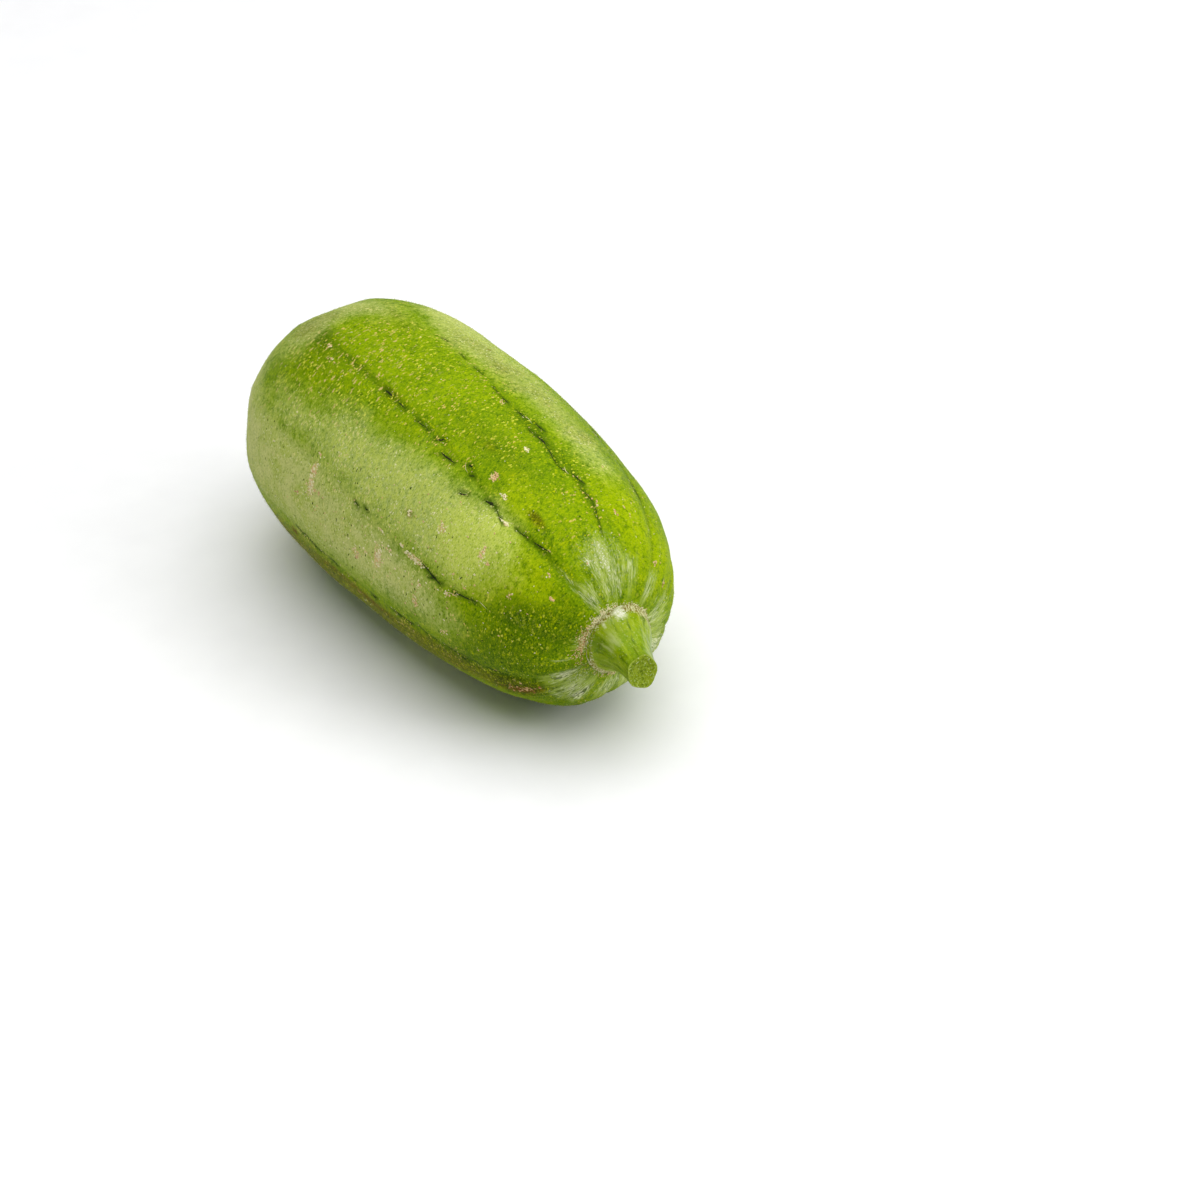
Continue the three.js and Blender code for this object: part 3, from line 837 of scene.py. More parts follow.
for place, angle_here, spread_along, spread_across, count, tone in CORK_PATCHES:
    for _ in range(count):
        here = place + rng.normal(0, spread_along * PATCH_THROW)
        there = angle_here + math.degrees(rng.normal(0, spread_across * PATCH_THROW) / FRUIT_RADIUS)
        crumbs.append(crumb_body(here, there, rng.uniform(*PATCH_CRUMB_SIZE), rng.uniform(0.7, 1.6)))
        tones.append(np.clip(tone + rng.normal(-0.15, 0.3), 0, 1.5))
for stroke in STROKES:
    places, angles = stroke_line(stroke, CRACK_CRUMB_PLACES)
    count = int(rng.uniform(0, 1 + 0.7 * (stroke[2] - stroke[1])))
    for pick in rng.integers(0, CRACK_CRUMB_PLACES, count):
        aside_mm = rng.choice([-1, 1]) * (stroke[5] + rng.uniform(0.1, 0.5))
        beside_angle = angles[pick] + math.degrees(aside_mm / FRUIT_RADIUS)
        crumbs.append(crumb_body(places[pick], beside_angle, rng.uniform(*CRACK_CRUMB_SIZE), 1.8))
        tones.append(rng.uniform(0.2, 1.1))
print(f"{len(crumbs)} crumbs on patches and beside cracks")

# %% Lone crumbs, the collar, crowds and threads
LONE_CRUMB_SIZE = (0.1, 0.3)
COLLAR_CRUMB_SIZE = (0.1, 0.28)
CROWD_CRUMB_SIZE = (0.14, 0.36)
CROWD_ZONE = (-40, 104)

for _ in range(LONE_CRUMBS):
    place, way, size = rng.uniform(*LONE_CRUMB_ZONE), rng.uniform(0, 360), rng.uniform(*LONE_CRUMB_SIZE)
    crumbs.append(crumb_body(place, way, size, rng.uniform(0.5, 1.1)))
    tones.append(rng.beta(1.2, 1.6))
# The collar round the stalk is set with clumps of crumbs.
for way, spread, count, nearest, reach, tone in COLLAR_CLUMPS:
    for _ in range(count):
        out = abs(rng.normal(0, reach)) + nearest
        place = float(np.interp(walked[-1] - out, walked, station_along))
        size = rng.uniform(*COLLAR_CRUMB_SIZE)
        crumbs.append(crumb_body(place, way + rng.normal(0, spread), size, rng.uniform(0.7, 1.3)))
        tones.append(np.clip(tone + rng.normal(0, 0.35), 0, 1.5))
for place, way, spread_along, spread, count in CRUMB_CROWDS:
    for _ in range(count):
        here = np.clip(place + rng.normal(0, spread_along), *CROWD_ZONE)
        there, size = way + rng.normal(0, spread), rng.uniform(*CROWD_CRUMB_SIZE)
        crumbs.append(crumb_body(here, there, size, rng.uniform(0.6, 1.8)))
        tones.append(rng.uniform(0.1, 1.1))
crumbs += [stroke_body(thread, THREAD_KINK) for thread in THREADS]
tones += list(rng.uniform(0.2, 0.8, len(THREADS)))

crumb_mesh = mesh_of("cork_crumbs", crumbs)
tone_weights = np.repeat(np.array(tones, np.float32), [len(points) for points, _ in crumbs])
crumb_mesh.attributes.new("tone", "FLOAT", "POINT").data.foreach_set("value", tone_weights)
print(f"{len(crumbs)} crumbs and threads of cork")

# %% Floors of cork under the patches
FULL_FLOOR = 22  # crumbs on a patch whose floor is closed
FLOOR_SHARE = 0.95  # of the patch's spread
floors = sum(
    min(1.2, count / FULL_FLOOR) * mark(along, angle, (place, way), (FLOOR_SHARE * far, FLOOR_SHARE * wide))
    for place, way, far, wide, count, tone in CORK_PATCHES
    if tone <= 1
)
store(rind_mesh, "scabbed", floors)
print(f"the floors cover {np.mean(floors > 0.5):.1%} of the rind's points")

# %% [markdown]
# ## Patterns of the rind
# The rind is a thin waxy skin over green flesh, set with corky pores and short hairs. A few noise patterns of
# sizes from 0.5 to 24 mm give its mottling and its grain. The pores show as pale flecks, longer round the
# fruit than along it. They come from a Voronoi pattern, whose cells give each fleck a place, a size and a
# chance to be missing.

# %% Sizes of the patterns
# All but the IOR are in mm, from the spacing of the pores and the width of the streaks on such a skin.
WAX_IOR = 1.45  # of plant wax and of cell walls
FLECK_SPACING = 1.5
SMALL_FLECK_SPACING = 0.95
LARGE_FLECK_SPACING = 2.8
DOT_SPACING = 2.2
GRAIN_WIDTH = 0.6  # the hairs are finer, but they wouldn't show from a metre away
MOTTLE_SIZE = 1.8
PATCH_SIZE = 7.0
CLOUD_SIZE = 24.0
SPECK_SIZE = 0.5
STREAK_WIDTH = 1.4
STREAK_LENGTH = 5.0
DASH_WIDTH = 0.55
DASH_LENGTH = 1.6
BAND_WIDTH = 3.6
WAVE_SIZE = 4.0
WAVE_REACH = 2.4

# Waxy rind: a satin green skin, dulled by its hairs.
rind, tree = new_material("waxy luffa rind")
in_mm = place_in_mm(tree)
weights = [*RIND_MARKS, *STALK_END_MARKS, "seam_gap", "to_tip", "crack_stain", "scabbed"]
on = {name: add(tree, "ShaderNodeAttribute", attribute_name=name).outputs["Fac"] for name in weights}
print(f"the rind's material reads {len(on)} weights")


# %% Moved and scattered patterns
def wobbled(tree, place, size, reach):
    """A place moved about by a noise, so that a pattern on it is less regular."""
    noise = pattern(tree, "ShaderNodeTexNoise", place, size, detail=1.0).outputs["Color"]
    inputs = {0: noise, 1: (reach,) * 3, 2: place}
    return add(tree, "ShaderNodeVectorMath", inputs, operation="MULTIPLY_ADD")


def flecks(spacing, chance, smallest, largest, wide, soft, seed):
    """Oval flecks, one to a Voronoi cell. Each has its own size and strength. chance is the share of cells
    that have one, and smallest, largest and soft are shares of the spacing, which is in mm."""
    moved = wobbled(tree, in_mm, 0.4 * spacing, 0.5 * spacing)
    shifted = add(tree, "ShaderNodeVectorMath", {0: moved, 1: (seed, seed, seed)}, operation="ADD")
    cells = pattern(tree, "ShaderNodeTexVoronoi", shifted, spacing, (wide, 1, 1))
    parts = add(tree, "ShaderNodeSeparateColor", {0: cells.outputs["Color"]})
    reach = add(tree, "ShaderNodeMapRange", {0: parts.outputs[0], 3: smallest, 4: largest})
    distance = cells.outputs["Distance"]
    inside = add(tree, "ShaderNodeMath", {0: reach, 1: distance}, operation="SUBTRACT")
    edge = {0: inside, 1: 0.0, 2: soft}
    body = add(tree, "ShaderNodeMapRange", edge, interpolation_type="SMOOTHSTEP")
    strength = add(tree, "ShaderNodeMapRange", {0: parts.outputs[1], 1: chance, 2: 0.3 * chance})
    return add(tree, "ShaderNodeMath", {0: body, 1: strength}, operation="MULTIPLY")


# %% Patterns on the rind
cloudy = pattern(tree, "ShaderNodeTexNoise", in_mm, CLOUD_SIZE, detail=2.0)
patchy = pattern(tree, "ShaderNodeTexNoise", in_mm, PATCH_SIZE, detail=4.0)
mottled = pattern(tree, "ShaderNodeTexNoise", in_mm, MOTTLE_SIZE, (1.6, 1, 1), detail=4.0)
grain = pattern(tree, "ShaderNodeTexNoise", in_mm, GRAIN_WIDTH, (2.0, 0.9, 0.9), detail=2.0)
lengthwise_place = add(tree, "ShaderNodeAttribute", attribute_name="lengthwise").outputs["Vector"]
specks = pattern(tree, "ShaderNodeTexNoise", in_mm, SPECK_SIZE, detail=2.0)
wavy = wobbled(tree, lengthwise_place, WAVE_SIZE, WAVE_REACH)
long_way = (1, 1, STREAK_WIDTH / STREAK_LENGTH)
fibres = pattern(tree, "ShaderNodeTexNoise", wavy, STREAK_WIDTH, long_way, detail=4.0)
long_way = (1, 1, DASH_WIDTH / DASH_LENGTH)
dashes = pattern(tree, "ShaderNodeTexNoise", wavy, DASH_WIDTH, long_way, detail=3.0)
bands = pattern(tree, "ShaderNodeTexNoise", wavy, BAND_WIDTH, (1, 1, 0.35), detail=3.0)
main_flecks = flecks(FLECK_SPACING, 0.85, smallest=0.16, largest=0.46, wide=2.2, soft=0.12, seed=0)
fine_flecks = flecks(SMALL_FLECK_SPACING, 0.9, smallest=0.2, largest=0.5, wide=1.6, soft=0.25, seed=31)
large_flecks = flecks(LARGE_FLECK_SPACING, 0.9, smallest=0.12, largest=0.44, wide=3.2, soft=0.18, seed=57)
dark_dots = flecks(DOT_SPACING, 0.75, smallest=0.08, largest=0.24, wide=1.8, soft=0.1, seed=83)
print(f"{len(tree.nodes)} nodes make the rind's patterns")

# %% [markdown]
# ## Colours of the rind
# The layers go on as they lie on the fruit: green flesh that shows through the skin, with painted shade on
# its underside, a thin wax on it with painted sheen, the mottling and the grain of the hairs, darker seams,
# pores, and last of all the scars. One flat green with a noise over it would look like plastic. A layer in
# MULTIPLY mode darkens what lies under it.

# %% Green ground and wax bloom, with painted sheen and painted shade
# Greens in soft clouds, from yellowish to deep.
skin = coloured(tree, 0x708F00, 0x829E00, cloudy, 0.35, 0.65)
skin = coloured(tree, skin, 0x5E8000, patchy, 0.5, 0.8)
skin = painted(tree, skin, 0x93AB00, on["yellow_green"], patchy, 0.7, 0.2, 1.0)
# Deep greens: darker skin on seams and lobes, and painted shade on the underside and under the stalk.
skin = painted(tree, skin, 0x547200, on["deep_green_and_shade"], mottled, 0.9, 0.15, 1.15)

# Wax bloom, thin in some patches and with its edge broken up by the mottling. Part of its paleness is
# painted sheen, on the lobes and along the edges that catch the lights.
uneven = add(tree, "ShaderNodeMix", {0: 0.4, 2: patchy, 3: mottled})
waxy = coloured(tree, 0xC4C878, 0xAEBA58, patchy, 0.38, 0.62)
skin = painted(tree, skin, waxy, on["grey_bloom_and_sheen"], uneven, 2.0, 0.1, 1.1)
waxy = coloured(tree, 0xAEBC64, 0xB6C452, mottled, 0.35, 0.65)
waxy = coloured(tree, waxy, 0xC0CE56, on["yellow_green"], 0.2, 1.0)
skin = painted(tree, skin, waxy, on["bloom"], uneven, 1.6, 0.1, 1.1)
# Olive: olive-brown skin, and painted shade on the underside and at one upper edge. It darkens with the deep
# greens.
dull = coloured(tree, 0x626800, 0x465000, on["deep_green_and_shade"], 0.5, 1.4)
skin = painted(tree, skin, dull, on["olive"], patchy, 0.8, 0.1, 0.9)
print(f"{len(tree.nodes)} nodes with the ground and the bloom")

# %% Mottling and grain
# The grain of the hairs runs round the fruit. The bloom and its painted sheen hide most of the mottling.
sheen_and_bloom_share = add(tree, "ShaderNodeMath", {0: on["bloom"], 1: on["grey_bloom_and_sheen"]}, operation="MAXIMUM")
shade = coloured(tree, 0xB2C886, 0xE4ECD0, sheen_and_bloom_share, 0.1, 0.8)
skin = coloured(tree, skin, shade, mottled, 0.52, 0.25, "MULTIPLY")
light = coloured(tree, 0xB8C208, 0xC4CA78, sheen_and_bloom_share, 0.1, 0.8)
skin = coloured(tree, skin, light, mottled, 0.52, 0.95)
skin = coloured(tree, skin, 0x9AB46C, grain, 0.52, 0.2, "MULTIPLY")
# Each of these has a colour for bare skin and one for the bloom with its painted sheen.
for on_skin, on_sheen_and_bloom, noise, start, full in (
    (0xC2CC18, 0xD2D690, grain, 0.5, 1.0),
    (0xB0BC0C, 0xD6DAA0, specks, 0.6, 0.95),
    (0x668408, 0x8A9A3C, specks, 0.38, 0.1),
):
    hue = coloured(tree, on_skin, on_sheen_and_bloom, sheen_and_bloom_share, 0.1, 0.8)
    skin = coloured(tree, skin, hue, noise, start, full)
print(f"{len(tree.nodes)} nodes with the mottling and the grain")

# %% Seams
# A faint darker band, and darker stains round each crack.
SEAM_BAND = 2.4  # how far from a seam its darker band reaches, in mm

near_seam = add(tree, "ShaderNodeMapRange", {0: on["seam_gap"], 1: SEAM_BAND, 2: 0.0, 4: 0.45})
inputs = {0: sheen_and_bloom_share, 1: -0.3, 2: near_seam}
near_seam = add(tree, "ShaderNodeMath", inputs, operation="MULTIPLY_ADD")
skin = painted(tree, skin, 0x4E7004, near_seam, mottled, 0.9, 0.1, 1.0)
skin = painted(tree, skin, 0x3C5800, on["crack_stain"], mottled, 1.2, 0.35, 1.2)
print(f"{len(tree.nodes)} nodes with the seams")

# %% Pores
# Pale flecks, tan ones near the flower, and small dark dots. They crowd together in some places.
crowd = add(tree, "ShaderNodeMapRange", {0: patchy, 1: 0.38, 2: 0.6, 3: 0.3, 4: 1.3})
inputs = {0: on["freckled"], 1: 0.85, 2: 0.18}
freckle = add(tree, "ShaderNodeMath", inputs, operation="MULTIPLY_ADD")
freckle = add(tree, "ShaderNodeMath", {0: freckle, 1: crowd}, operation="MULTIPLY")
fine_hue = coloured(tree, 0xA8B400, 0xD8DAA0, sheen_and_bloom_share, 0.1, 0.9)
mask = add(tree, "ShaderNodeMath", {0: fine_flecks, 1: crowd}, operation="MULTIPLY")
skin = coloured(tree, skin, fine_hue, mask, 0.0, 1.1)
main_hue = coloured(tree, 0xC2C63C, 0xCCB65C, cloudy, 0.45, 0.62)
main_hue = coloured(tree, main_hue, 0xD2D07E, sheen_and_bloom_share, 0.1, 0.8)
mask = add(tree, "ShaderNodeMath", {0: main_flecks, 1: freckle}, operation="MULTIPLY")
skin = coloured(tree, skin, main_hue, mask, 0.0, 0.6)
mask = add(tree, "ShaderNodeMath", {0: large_flecks, 1: on["tan_freckled"]}, operation="MULTIPLY")
skin = coloured(tree, skin, 0xC4AE6A, mask, 0.0, 0.8)
mask = add(tree, "ShaderNodeMath", {0: dark_dots, 1: on["dotted"]}, operation="MULTIPLY")
skin = coloured(tree, skin, 0x36480C, mask, 0.0, 0.3)
print(f"{len(tree.nodes)} nodes with the pores")

# %% Streaks round the stalk
# Pale bands of stretched skin, in bright and dark threads, and a silvery wax on some of them, with a painted
# highlight in it above the stalk. Bands and threads are darker on the underside, as painted shade.
worn = add(tree, "ShaderNodeMapRange", {0: patchy, 1: 0.36, 2: 0.56, 3: 0.45, 4: 1.1})
streaked = add(tree, "ShaderNodeMath", {0: on["streaked"], 1: worn}, operation="MULTIPLY")
pale = coloured(tree, 0xA2B544, 0x93A838, on["deep_green_and_shade"], 0.2, 0.9)
skin = painted(tree, skin, pale, on["streaked"], bands, 2.4, 0.1, 1.0)
dark = coloured(tree, 0x5C7A04, 0x324800, on["deep_green_and_shade"], 0.2, 0.9)
for layer in (
    (dark, streaked, fibres, -4.0, 0.45, 1.7),
    (0xC0CA86, streaked, fibres, 4.0, 0.45, 1.7),
    (dark, streaked, dashes, -5.0, 0.6, 2.1),
    (0xD8DBB0, streaked, dashes, 5.0, 0.65, 2.0),
    # A painted highlight with white glints above the stalk, and silvery wax on some streaks.
    (0xA6B364, on["silvered_and_highlight"], dashes, 2.4, 0.1, 1.4),
    (0xDADCBC, on["silvered_and_highlight"], specks, 5.0, 0.8, 2.0),
):
    skin = painted(tree, skin, *layer)
print(f"{len(tree.nodes)} nodes with the streaks")

# %% Scabs, rust and corky ground
# The flower's scar comes last. Nothing lies over it.
scar = add(tree, "ShaderNodeMapRange", {0: on["to_tip"], 1: 3.5, 2: 0.5})
for layer in (
    (0xD2B67A, on["scabbed"], specks, 6.0, 0.55, 0.95),
    (0x664A0C, on["russet"], mottled, 1.6, 0.3, 1.1),
    (0x8C943C, on["corky"], mottled, 2.2, 0.4, 1.1),
    (0xCFCB9C, on["corky"], specks, 5.0, 0.5, 1.8),
    (0x76602A, on["corky"], specks, -5.0, 0.6, 1.8),
    (0x948A50, scar, mottled, 1.2, 0.3, 1.0),
):
    skin = painted(tree, skin, *layer)
print(f"{len(tree.nodes)} nodes with all the colours")

# %% [markdown]
# ## Relief and gloss of the rind
# Relief too fine for the mesh is left to bump nodes, which tilt the surface's normals and move no points.
# The hairs scatter the light before it can make a highlight, so the specular level is low and there is a
# trace of sheen. Where the skin is stretched round the stalk it is bare and waxed, and a thin clear coat
# over the base gives it its shine.

# %% Rind relief and gloss
# The patterns that stand out, with the depth of each in mm.
bump = add(tree, "ShaderNodeNewGeometry").outputs["Normal"]
for noise, depth in ((patchy, 0.3), (fibres, 0.1), (mottled, 0.13), (grain, 0.06), (main_flecks, 0.05)):
    bump = add(tree, "ShaderNodeBump", {"Height": noise, "Distance": depth * MM, "Normal": bump})
satin = add(tree, "ShaderNodeMapRange", {0: mottled, 1: 0.3, 2: 0.7, 3: 0.45, 4: 0.6})
waxed = add(tree, "ShaderNodeMapRange", {0: on["streaked"], 1: 0.3, 2: 1.0, 4: 0.45})
finish_material(
    tree, skin, satin, bump, {"Coat Weight": waxed},
    IOR=WAX_IOR, Specular_IOR_Level=0.03, Coat_Roughness=0.28, Coat_IOR=WAX_IOR,
    Sheen_Weight=0.01, Sheen_Roughness=0.4, Sheen_Tint=linear(0xE4E8A8),
)
make_piece("rind", rind_mesh, rind, "fruit")

# %% [markdown]
# ## Scab and cork
# A healed crack is a dry black-green crust, browner at its ragged edges. Cork is dead cell walls full of air,
# so it is pale and matt, and it browns as it ages. The edge and the tone that each body carries steer both
# colours, so that one material serves for all the cracks and one for all the crumbs.

# %% Healed cracks
SCAB_FLAKE = 0.7

# Scab: dry, dark and matt.
scab, tree = new_material("healed crack scab")
flaky = pattern(tree, "ShaderNodeTexNoise", place_in_mm(tree), SCAB_FLAKE, detail=3.0)
edge = add(tree, "ShaderNodeAttribute", attribute_name="edge").outputs["Fac"]
dark = coloured(tree, 0x1E260E, 0x4A5A28, flaky, 0.5, 0.8)
dark = painted(tree, dark, 0x6E5220, edge, flaky, 1.2, 0.45, 1.0)
rough = add(tree, "ShaderNodeBump", {"Height": flaky, "Distance": 0.05 * MM})
finish_material(tree, dark, 0.8, rough, IOR=WAX_IOR, Specular_IOR_Level=0.12)
make_piece("seam_cracks", crack_mesh, scab)

# %% Cork
CORK_FLAKE = 0.4

# Cork: dry, pale and matt.
cork, tree = new_material("pale cork")
flaky = pattern(tree, "ShaderNodeTexNoise", place_in_mm(tree), CORK_FLAKE, detail=3.0)
tone = add(tree, "ShaderNodeAttribute", attribute_name="tone").outputs["Fac"]
tan = coloured(tree, 0xE2DEAC, 0xD2AE7A, tone, 0.2, 0.9)
tan = coloured(tree, tan, 0x8E5E34, tone, 0.95, 1.5)
tan = coloured(tree, tan, 0x9A7040, flaky, 0.52, 0.75)
rough = add(tree, "ShaderNodeBump", {"Height": flaky, "Distance": 0.06 * MM})
finish_material(tree, tan, 0.8, rough, IOR=WAX_IOR, Specular_IOR_Level=0.2)
make_piece("cork_crumbs", crumb_mesh, cork)

# %% [markdown]
# ## Hairs
# A young luffa feels like short velvet. Its hairs are less than a millimetre long, and only show one by one
# against a dark ground, along the fruit's edge. Blender's own hair would be lighter, but a mesh is exported
# just as it is seen. So each hair is a three-sided needle with its root under the skin, a little thicker than
# life so that it doesn't vanish between pixels.

# %% Where the hairs stand
# Hairs are spread evenly over the skin: a larger face of the mesh gets more of them.
HAIR_COUNT = 40000
HAIR_SEED = 5

rng = np.random.default_rng(HAIR_SEED)
corners = laid(rings)
flat = np.roll(corners, -1, axis=1)
edge_round = flat - corners
edge_along = np.roll(corners, -1, axis=0) - corners
normals = np.cross(edge_round, edge_along)[:-1]
areas = np.linalg.norm(normals, axis=-1)
normals = normals / np.maximum(areas, 1e-9)[..., None]
chosen = rng.choice(areas.size, HAIR_COUNT, p=(areas / areas.sum()).reshape(-1))
row, column = np.unravel_index(chosen, areas.shape)
u, v = rng.uniform(0, 1, (2, HAIR_COUNT, 1))
root = corners[row, column] + u * edge_round[row, column] + v * edge_along[row, column]
outward = normals[row, column]
print(f"{HAIR_COUNT / areas.sum():.1f} hairs to a square mm, over {areas.sum() / 100:.0f} square cm of rind")

# %% Hairs as needles
HAIR_LENGTH = (0.3, 0.75)
HAIR_HALF_WIDTH = 0.03
HAIR_ROOT = 0.08
HAIR_LEAN = 0.45
LEAST_UPRIGHT = 0.5
TABLE_CLEARANCE = 1.2
BARE_RINGS = 8

lean = rng.normal(0, HAIR_LEAN, (HAIR_COUNT, 3))
point_way = outward + lean
point_way /= np.linalg.norm(point_way, axis=-1, keepdims=True)
length = rng.uniform(*HAIR_LENGTH, (HAIR_COUNT, 1))
tip = root + point_way * length
# Hairs are left out that would lie on the skin, touch the table or stand next to the stalk.
upright = np.sum(point_way * outward, axis=-1) > LEAST_UPRIGHT
clear = upright & (tip[:, 2] > TABLE_CLEARANCE) & (row < RIND_STATIONS - BARE_RINGS)
root, tip, point_way, outward = root[clear], tip[clear], point_way[clear], outward[clear]
side = np.cross(point_way, [0.31, 0.47, 0.83])
side /= np.linalg.norm(side, axis=-1, keepdims=True)
other = np.cross(point_way, side)
foot = root - outward * HAIR_ROOT
ring = [
    foot + HAIR_HALF_WIDTH * (math.cos(t) * side + math.sin(t) * other)
    for t in (0, 2 * math.pi / 3, 4 * math.pi / 3)
]
hair_points = np.stack([*ring, tip], axis=1).reshape(-1, 3)
first = 4 * np.arange(len(root))[:, None]
needle = np.array([(0, 1, 3), (1, 2, 3), (2, 0, 3), (2, 1, 0)])
hair_faces = (first[:, None] + needle[None]).reshape(-1, 3)
hair_mesh = bpy.data.meshes.new("rind_hairs")
hair_mesh.from_pydata((hair_points * MM).tolist(), [], hair_faces.tolist())
print(f"{len(root)} hairs are left")

# %% Hair material
HAIR_TINT_SIZE = 4.0

# Plant hair: clear cell walls that look pale.
hair, tree = new_material("clear plant hair")
tint = pattern(tree, "ShaderNodeTexNoise", place_in_mm(tree), HAIR_TINT_SIZE, detail=2.0)
pale = coloured(tree, 0xA4AE28, 0xC6CA70, tint, 0.35, 0.65)
plain = add(tree, "ShaderNodeNewGeometry").outputs["Normal"]
finish_material(tree, pale, 0.55, plain, IOR=WAX_IOR, Specular_IOR_Level=0.1)
make_piece("rind_hairs", hair_mesh, hair)

# %% [markdown]
# ## The stalk
# The stalk flares into the fruit at its foot, swings over to one side and was cut with a knife on a slant.
# Five soft ribs run up it. Its cut face has a green rim of skin, a ring of pale bundles that once carried
# sap, and a lacy pith that has started to dry and sink. A tapered cylinder would look turned on a lathe, so
# rings are set along a bent middle line, and their ribs and strands are in their radius. The stalk starts a
# little inside the fruit, so that no gap shows at the collar.

# %% Sizes of the stalk, as in its solid
STALK_CUT_RADIUS = 4.7
STALK_LENGTH = 19.5
STALK_STRAIGHT = 3
STALK_LEAN_SIDE = math.radians(-16)
STALK_LEAN_UP = math.radians(5.5)
STALK_TAPER = 1.9
STALK_RIBS = 5
STALK_RIB_HEIGHT = 0.035  # lower than the solid's, because skin rounds the ribs off
STALK_RIBS_FULL = 0.33
CUT_SLANT = math.radians(18)
CUT_SLANT_TURN = math.radians(52)
CUT_DISH = 0.5
CUT_DISH_FROM = 0.82
CUT_DISH_TO = 0.55
STALK_SUNK = 1.2
print(f"the stalk tapers from {2 * STALK_FOOT_RADIUS} mm to {2 * STALK_CUT_RADIUS} mm")

# %% Middle line of the stalk
seat = float(station_along[-1])
curve_start = np.array([seat + JOIN_GAP, 0.0, -sag(seat)])
curve_bend = curve_start + [STALK_STRAIGHT, 0, 0]
lean = np.array([
    math.cos(STALK_LEAN_UP) * math.cos(STALK_LEAN_SIDE),
    math.cos(STALK_LEAN_UP) * math.sin(STALK_LEAN_SIDE),
    math.sin(STALK_LEAN_UP),
])
curve_end = curve_start + STALK_LENGTH * lean

# The middle line is a quadratic curve, walked at even steps.
LINE_POINTS = 1000
t = np.linspace(0, 1, LINE_POINTS)[:, None]
middle_line = (1 - t) ** 2 * curve_start + 2 * t * (1 - t) * curve_bend + t**2 * curve_end
steps = np.concatenate([[0], np.cumsum(np.linalg.norm(np.diff(middle_line, axis=0), axis=1))])
stalk_arc = steps[-1]
print(f"the stalk is {stalk_arc:.1f} mm long along its curve")

# %% Rings of the stalk
STALK_STATIONS = 110
STALK_SIDES = 200
STALK_TURN = 2 * np.pi * np.arange(STALK_SIDES) / STALK_SIDES
STRAND_HEIGHT = 0.003
FOOT_FLARE = 0.5
FOOT_FLARE_LENGTH = 0.8


def stalk_ring(place, share, sunk):
    """A ring round the middle line. share shrinks it, for the cut face, and sunk sets it back."""
    t = float(np.interp(place * stalk_arc, steps, np.linspace(0, 1, LINE_POINTS)))
    centre = (1 - t) ** 2 * curve_start + 2 * t * (1 - t) * curve_bend + t**2 * curve_end
    forward = 2 * (1 - t) * (curve_bend - curve_start) + 2 * t * (curve_end - curve_bend)
    forward /= np.linalg.norm(forward)
    side = np.cross([0, 0, 1], forward)
    side /= np.linalg.norm(side)
    top = np.cross(forward, side)
    radius = STALK_CUT_RADIUS + (STALK_FOOT_RADIUS - STALK_CUT_RADIUS) * (1 - place) ** STALK_TAPER
    radius += FOOT_FLARE * math.exp(-place * stalk_arc / FOOT_FLARE_LENGTH)
    rib = STALK_RIB_HEIGHT * min(1, place / STALK_RIBS_FULL)
    turn = STALK_TURN
    strands = np.sin(23 * turn + 1.1 * np.sin(4 * turn)) + 0.7 * np.sin(41 * turn + 3 * place)
    uneven = 0.014 * np.sin(3 * turn + 5 * place) * np.sin(7 * place + 0.8)
    uneven += 0.006 * np.sin(9 * turn + 11 * place + 1.3) * np.sin(19 * place + 2 * turn)
    reach = share * radius * (1 - rib + rib * np.cos(STALK_RIBS * turn) + STRAND_HEIGHT * strands + uneven)
    cut_back = reach * math.tan(CUT_SLANT) * place**3 * np.cos(turn - CUT_SLANT_TURN)
    points = centre - (sunk + cut_back)[:, None] * forward
    return points + (reach * np.cos(turn))[:, None] * side + (reach * np.sin(turn))[:, None] * top


foot_ring = stalk_ring(0.0, 1.0, np.zeros(STALK_SIDES))
print(f"its foot is {np.ptp(foot_ring[:, 1]):.1f} mm wide")

# %% The cut face, and the mesh
CUT_RINGS = 44
BUNDLES = 10
BUNDLE_PLACE = 0.7
BUNDLE_HEIGHT = 0.12
CLEFT_DEPTH = 0.12


def cut_depth(share):
    """How far the cut face lies back, at a share of its radius, for each side."""
    turn = STALK_TURN
    depth = CUT_DISH * smooth_step(np.full(STALK_SIDES, -share), -CUT_DISH_FROM, -CUT_DISH_TO)
    depth -= BUNDLE_HEIGHT * bell(share - BUNDLE_PLACE, 0.09) * np.cos(BUNDLES / 2 * turn) ** 2
    depth += CLEFT_DEPTH * bell(share - 0.2, 0.16) * np.cos(2.5 * turn + 0.6) ** 4
    depth += 0.05 * np.sin(17 * turn + 40 * share) * np.sin(29 * share + 5 * turn) * (share < 0.97)
    # The skin's edge is a little rounded by the knife.
    return depth - 0.08 * bell(share - 0.93, 0.05)


stalk_places = np.linspace(0, 1, STALK_STATIONS)
cut_shares = 1 - np.linspace(0, 1, CUT_RINGS + 2)[1:-1] ** 1.15
none_sunk = np.zeros(STALK_SIDES)
stalk_rings = [stalk_ring(0.0, 1.0, none_sunk + STALK_SUNK)]
stalk_rings += [stalk_ring(place, 1.0, none_sunk) for place in stalk_places]
stalk_rings += [stalk_ring(1.0, share, cut_depth(share)) for share in cut_shares]
stalk_rings = np.array(stalk_rings)
stalk_mesh = mesh_of("stalk", [ring_body(laid(stalk_rings))])
print(f"the stalk has {len(stalk_rings)} rings, {CUT_RINGS} of them on its cut face")


# %% Weights on the stalk
def per_ring(values):
    """The same number for every point of a ring."""
    return np.repeat(np.array(values, float)[:, None], STALK_SIDES, axis=1)


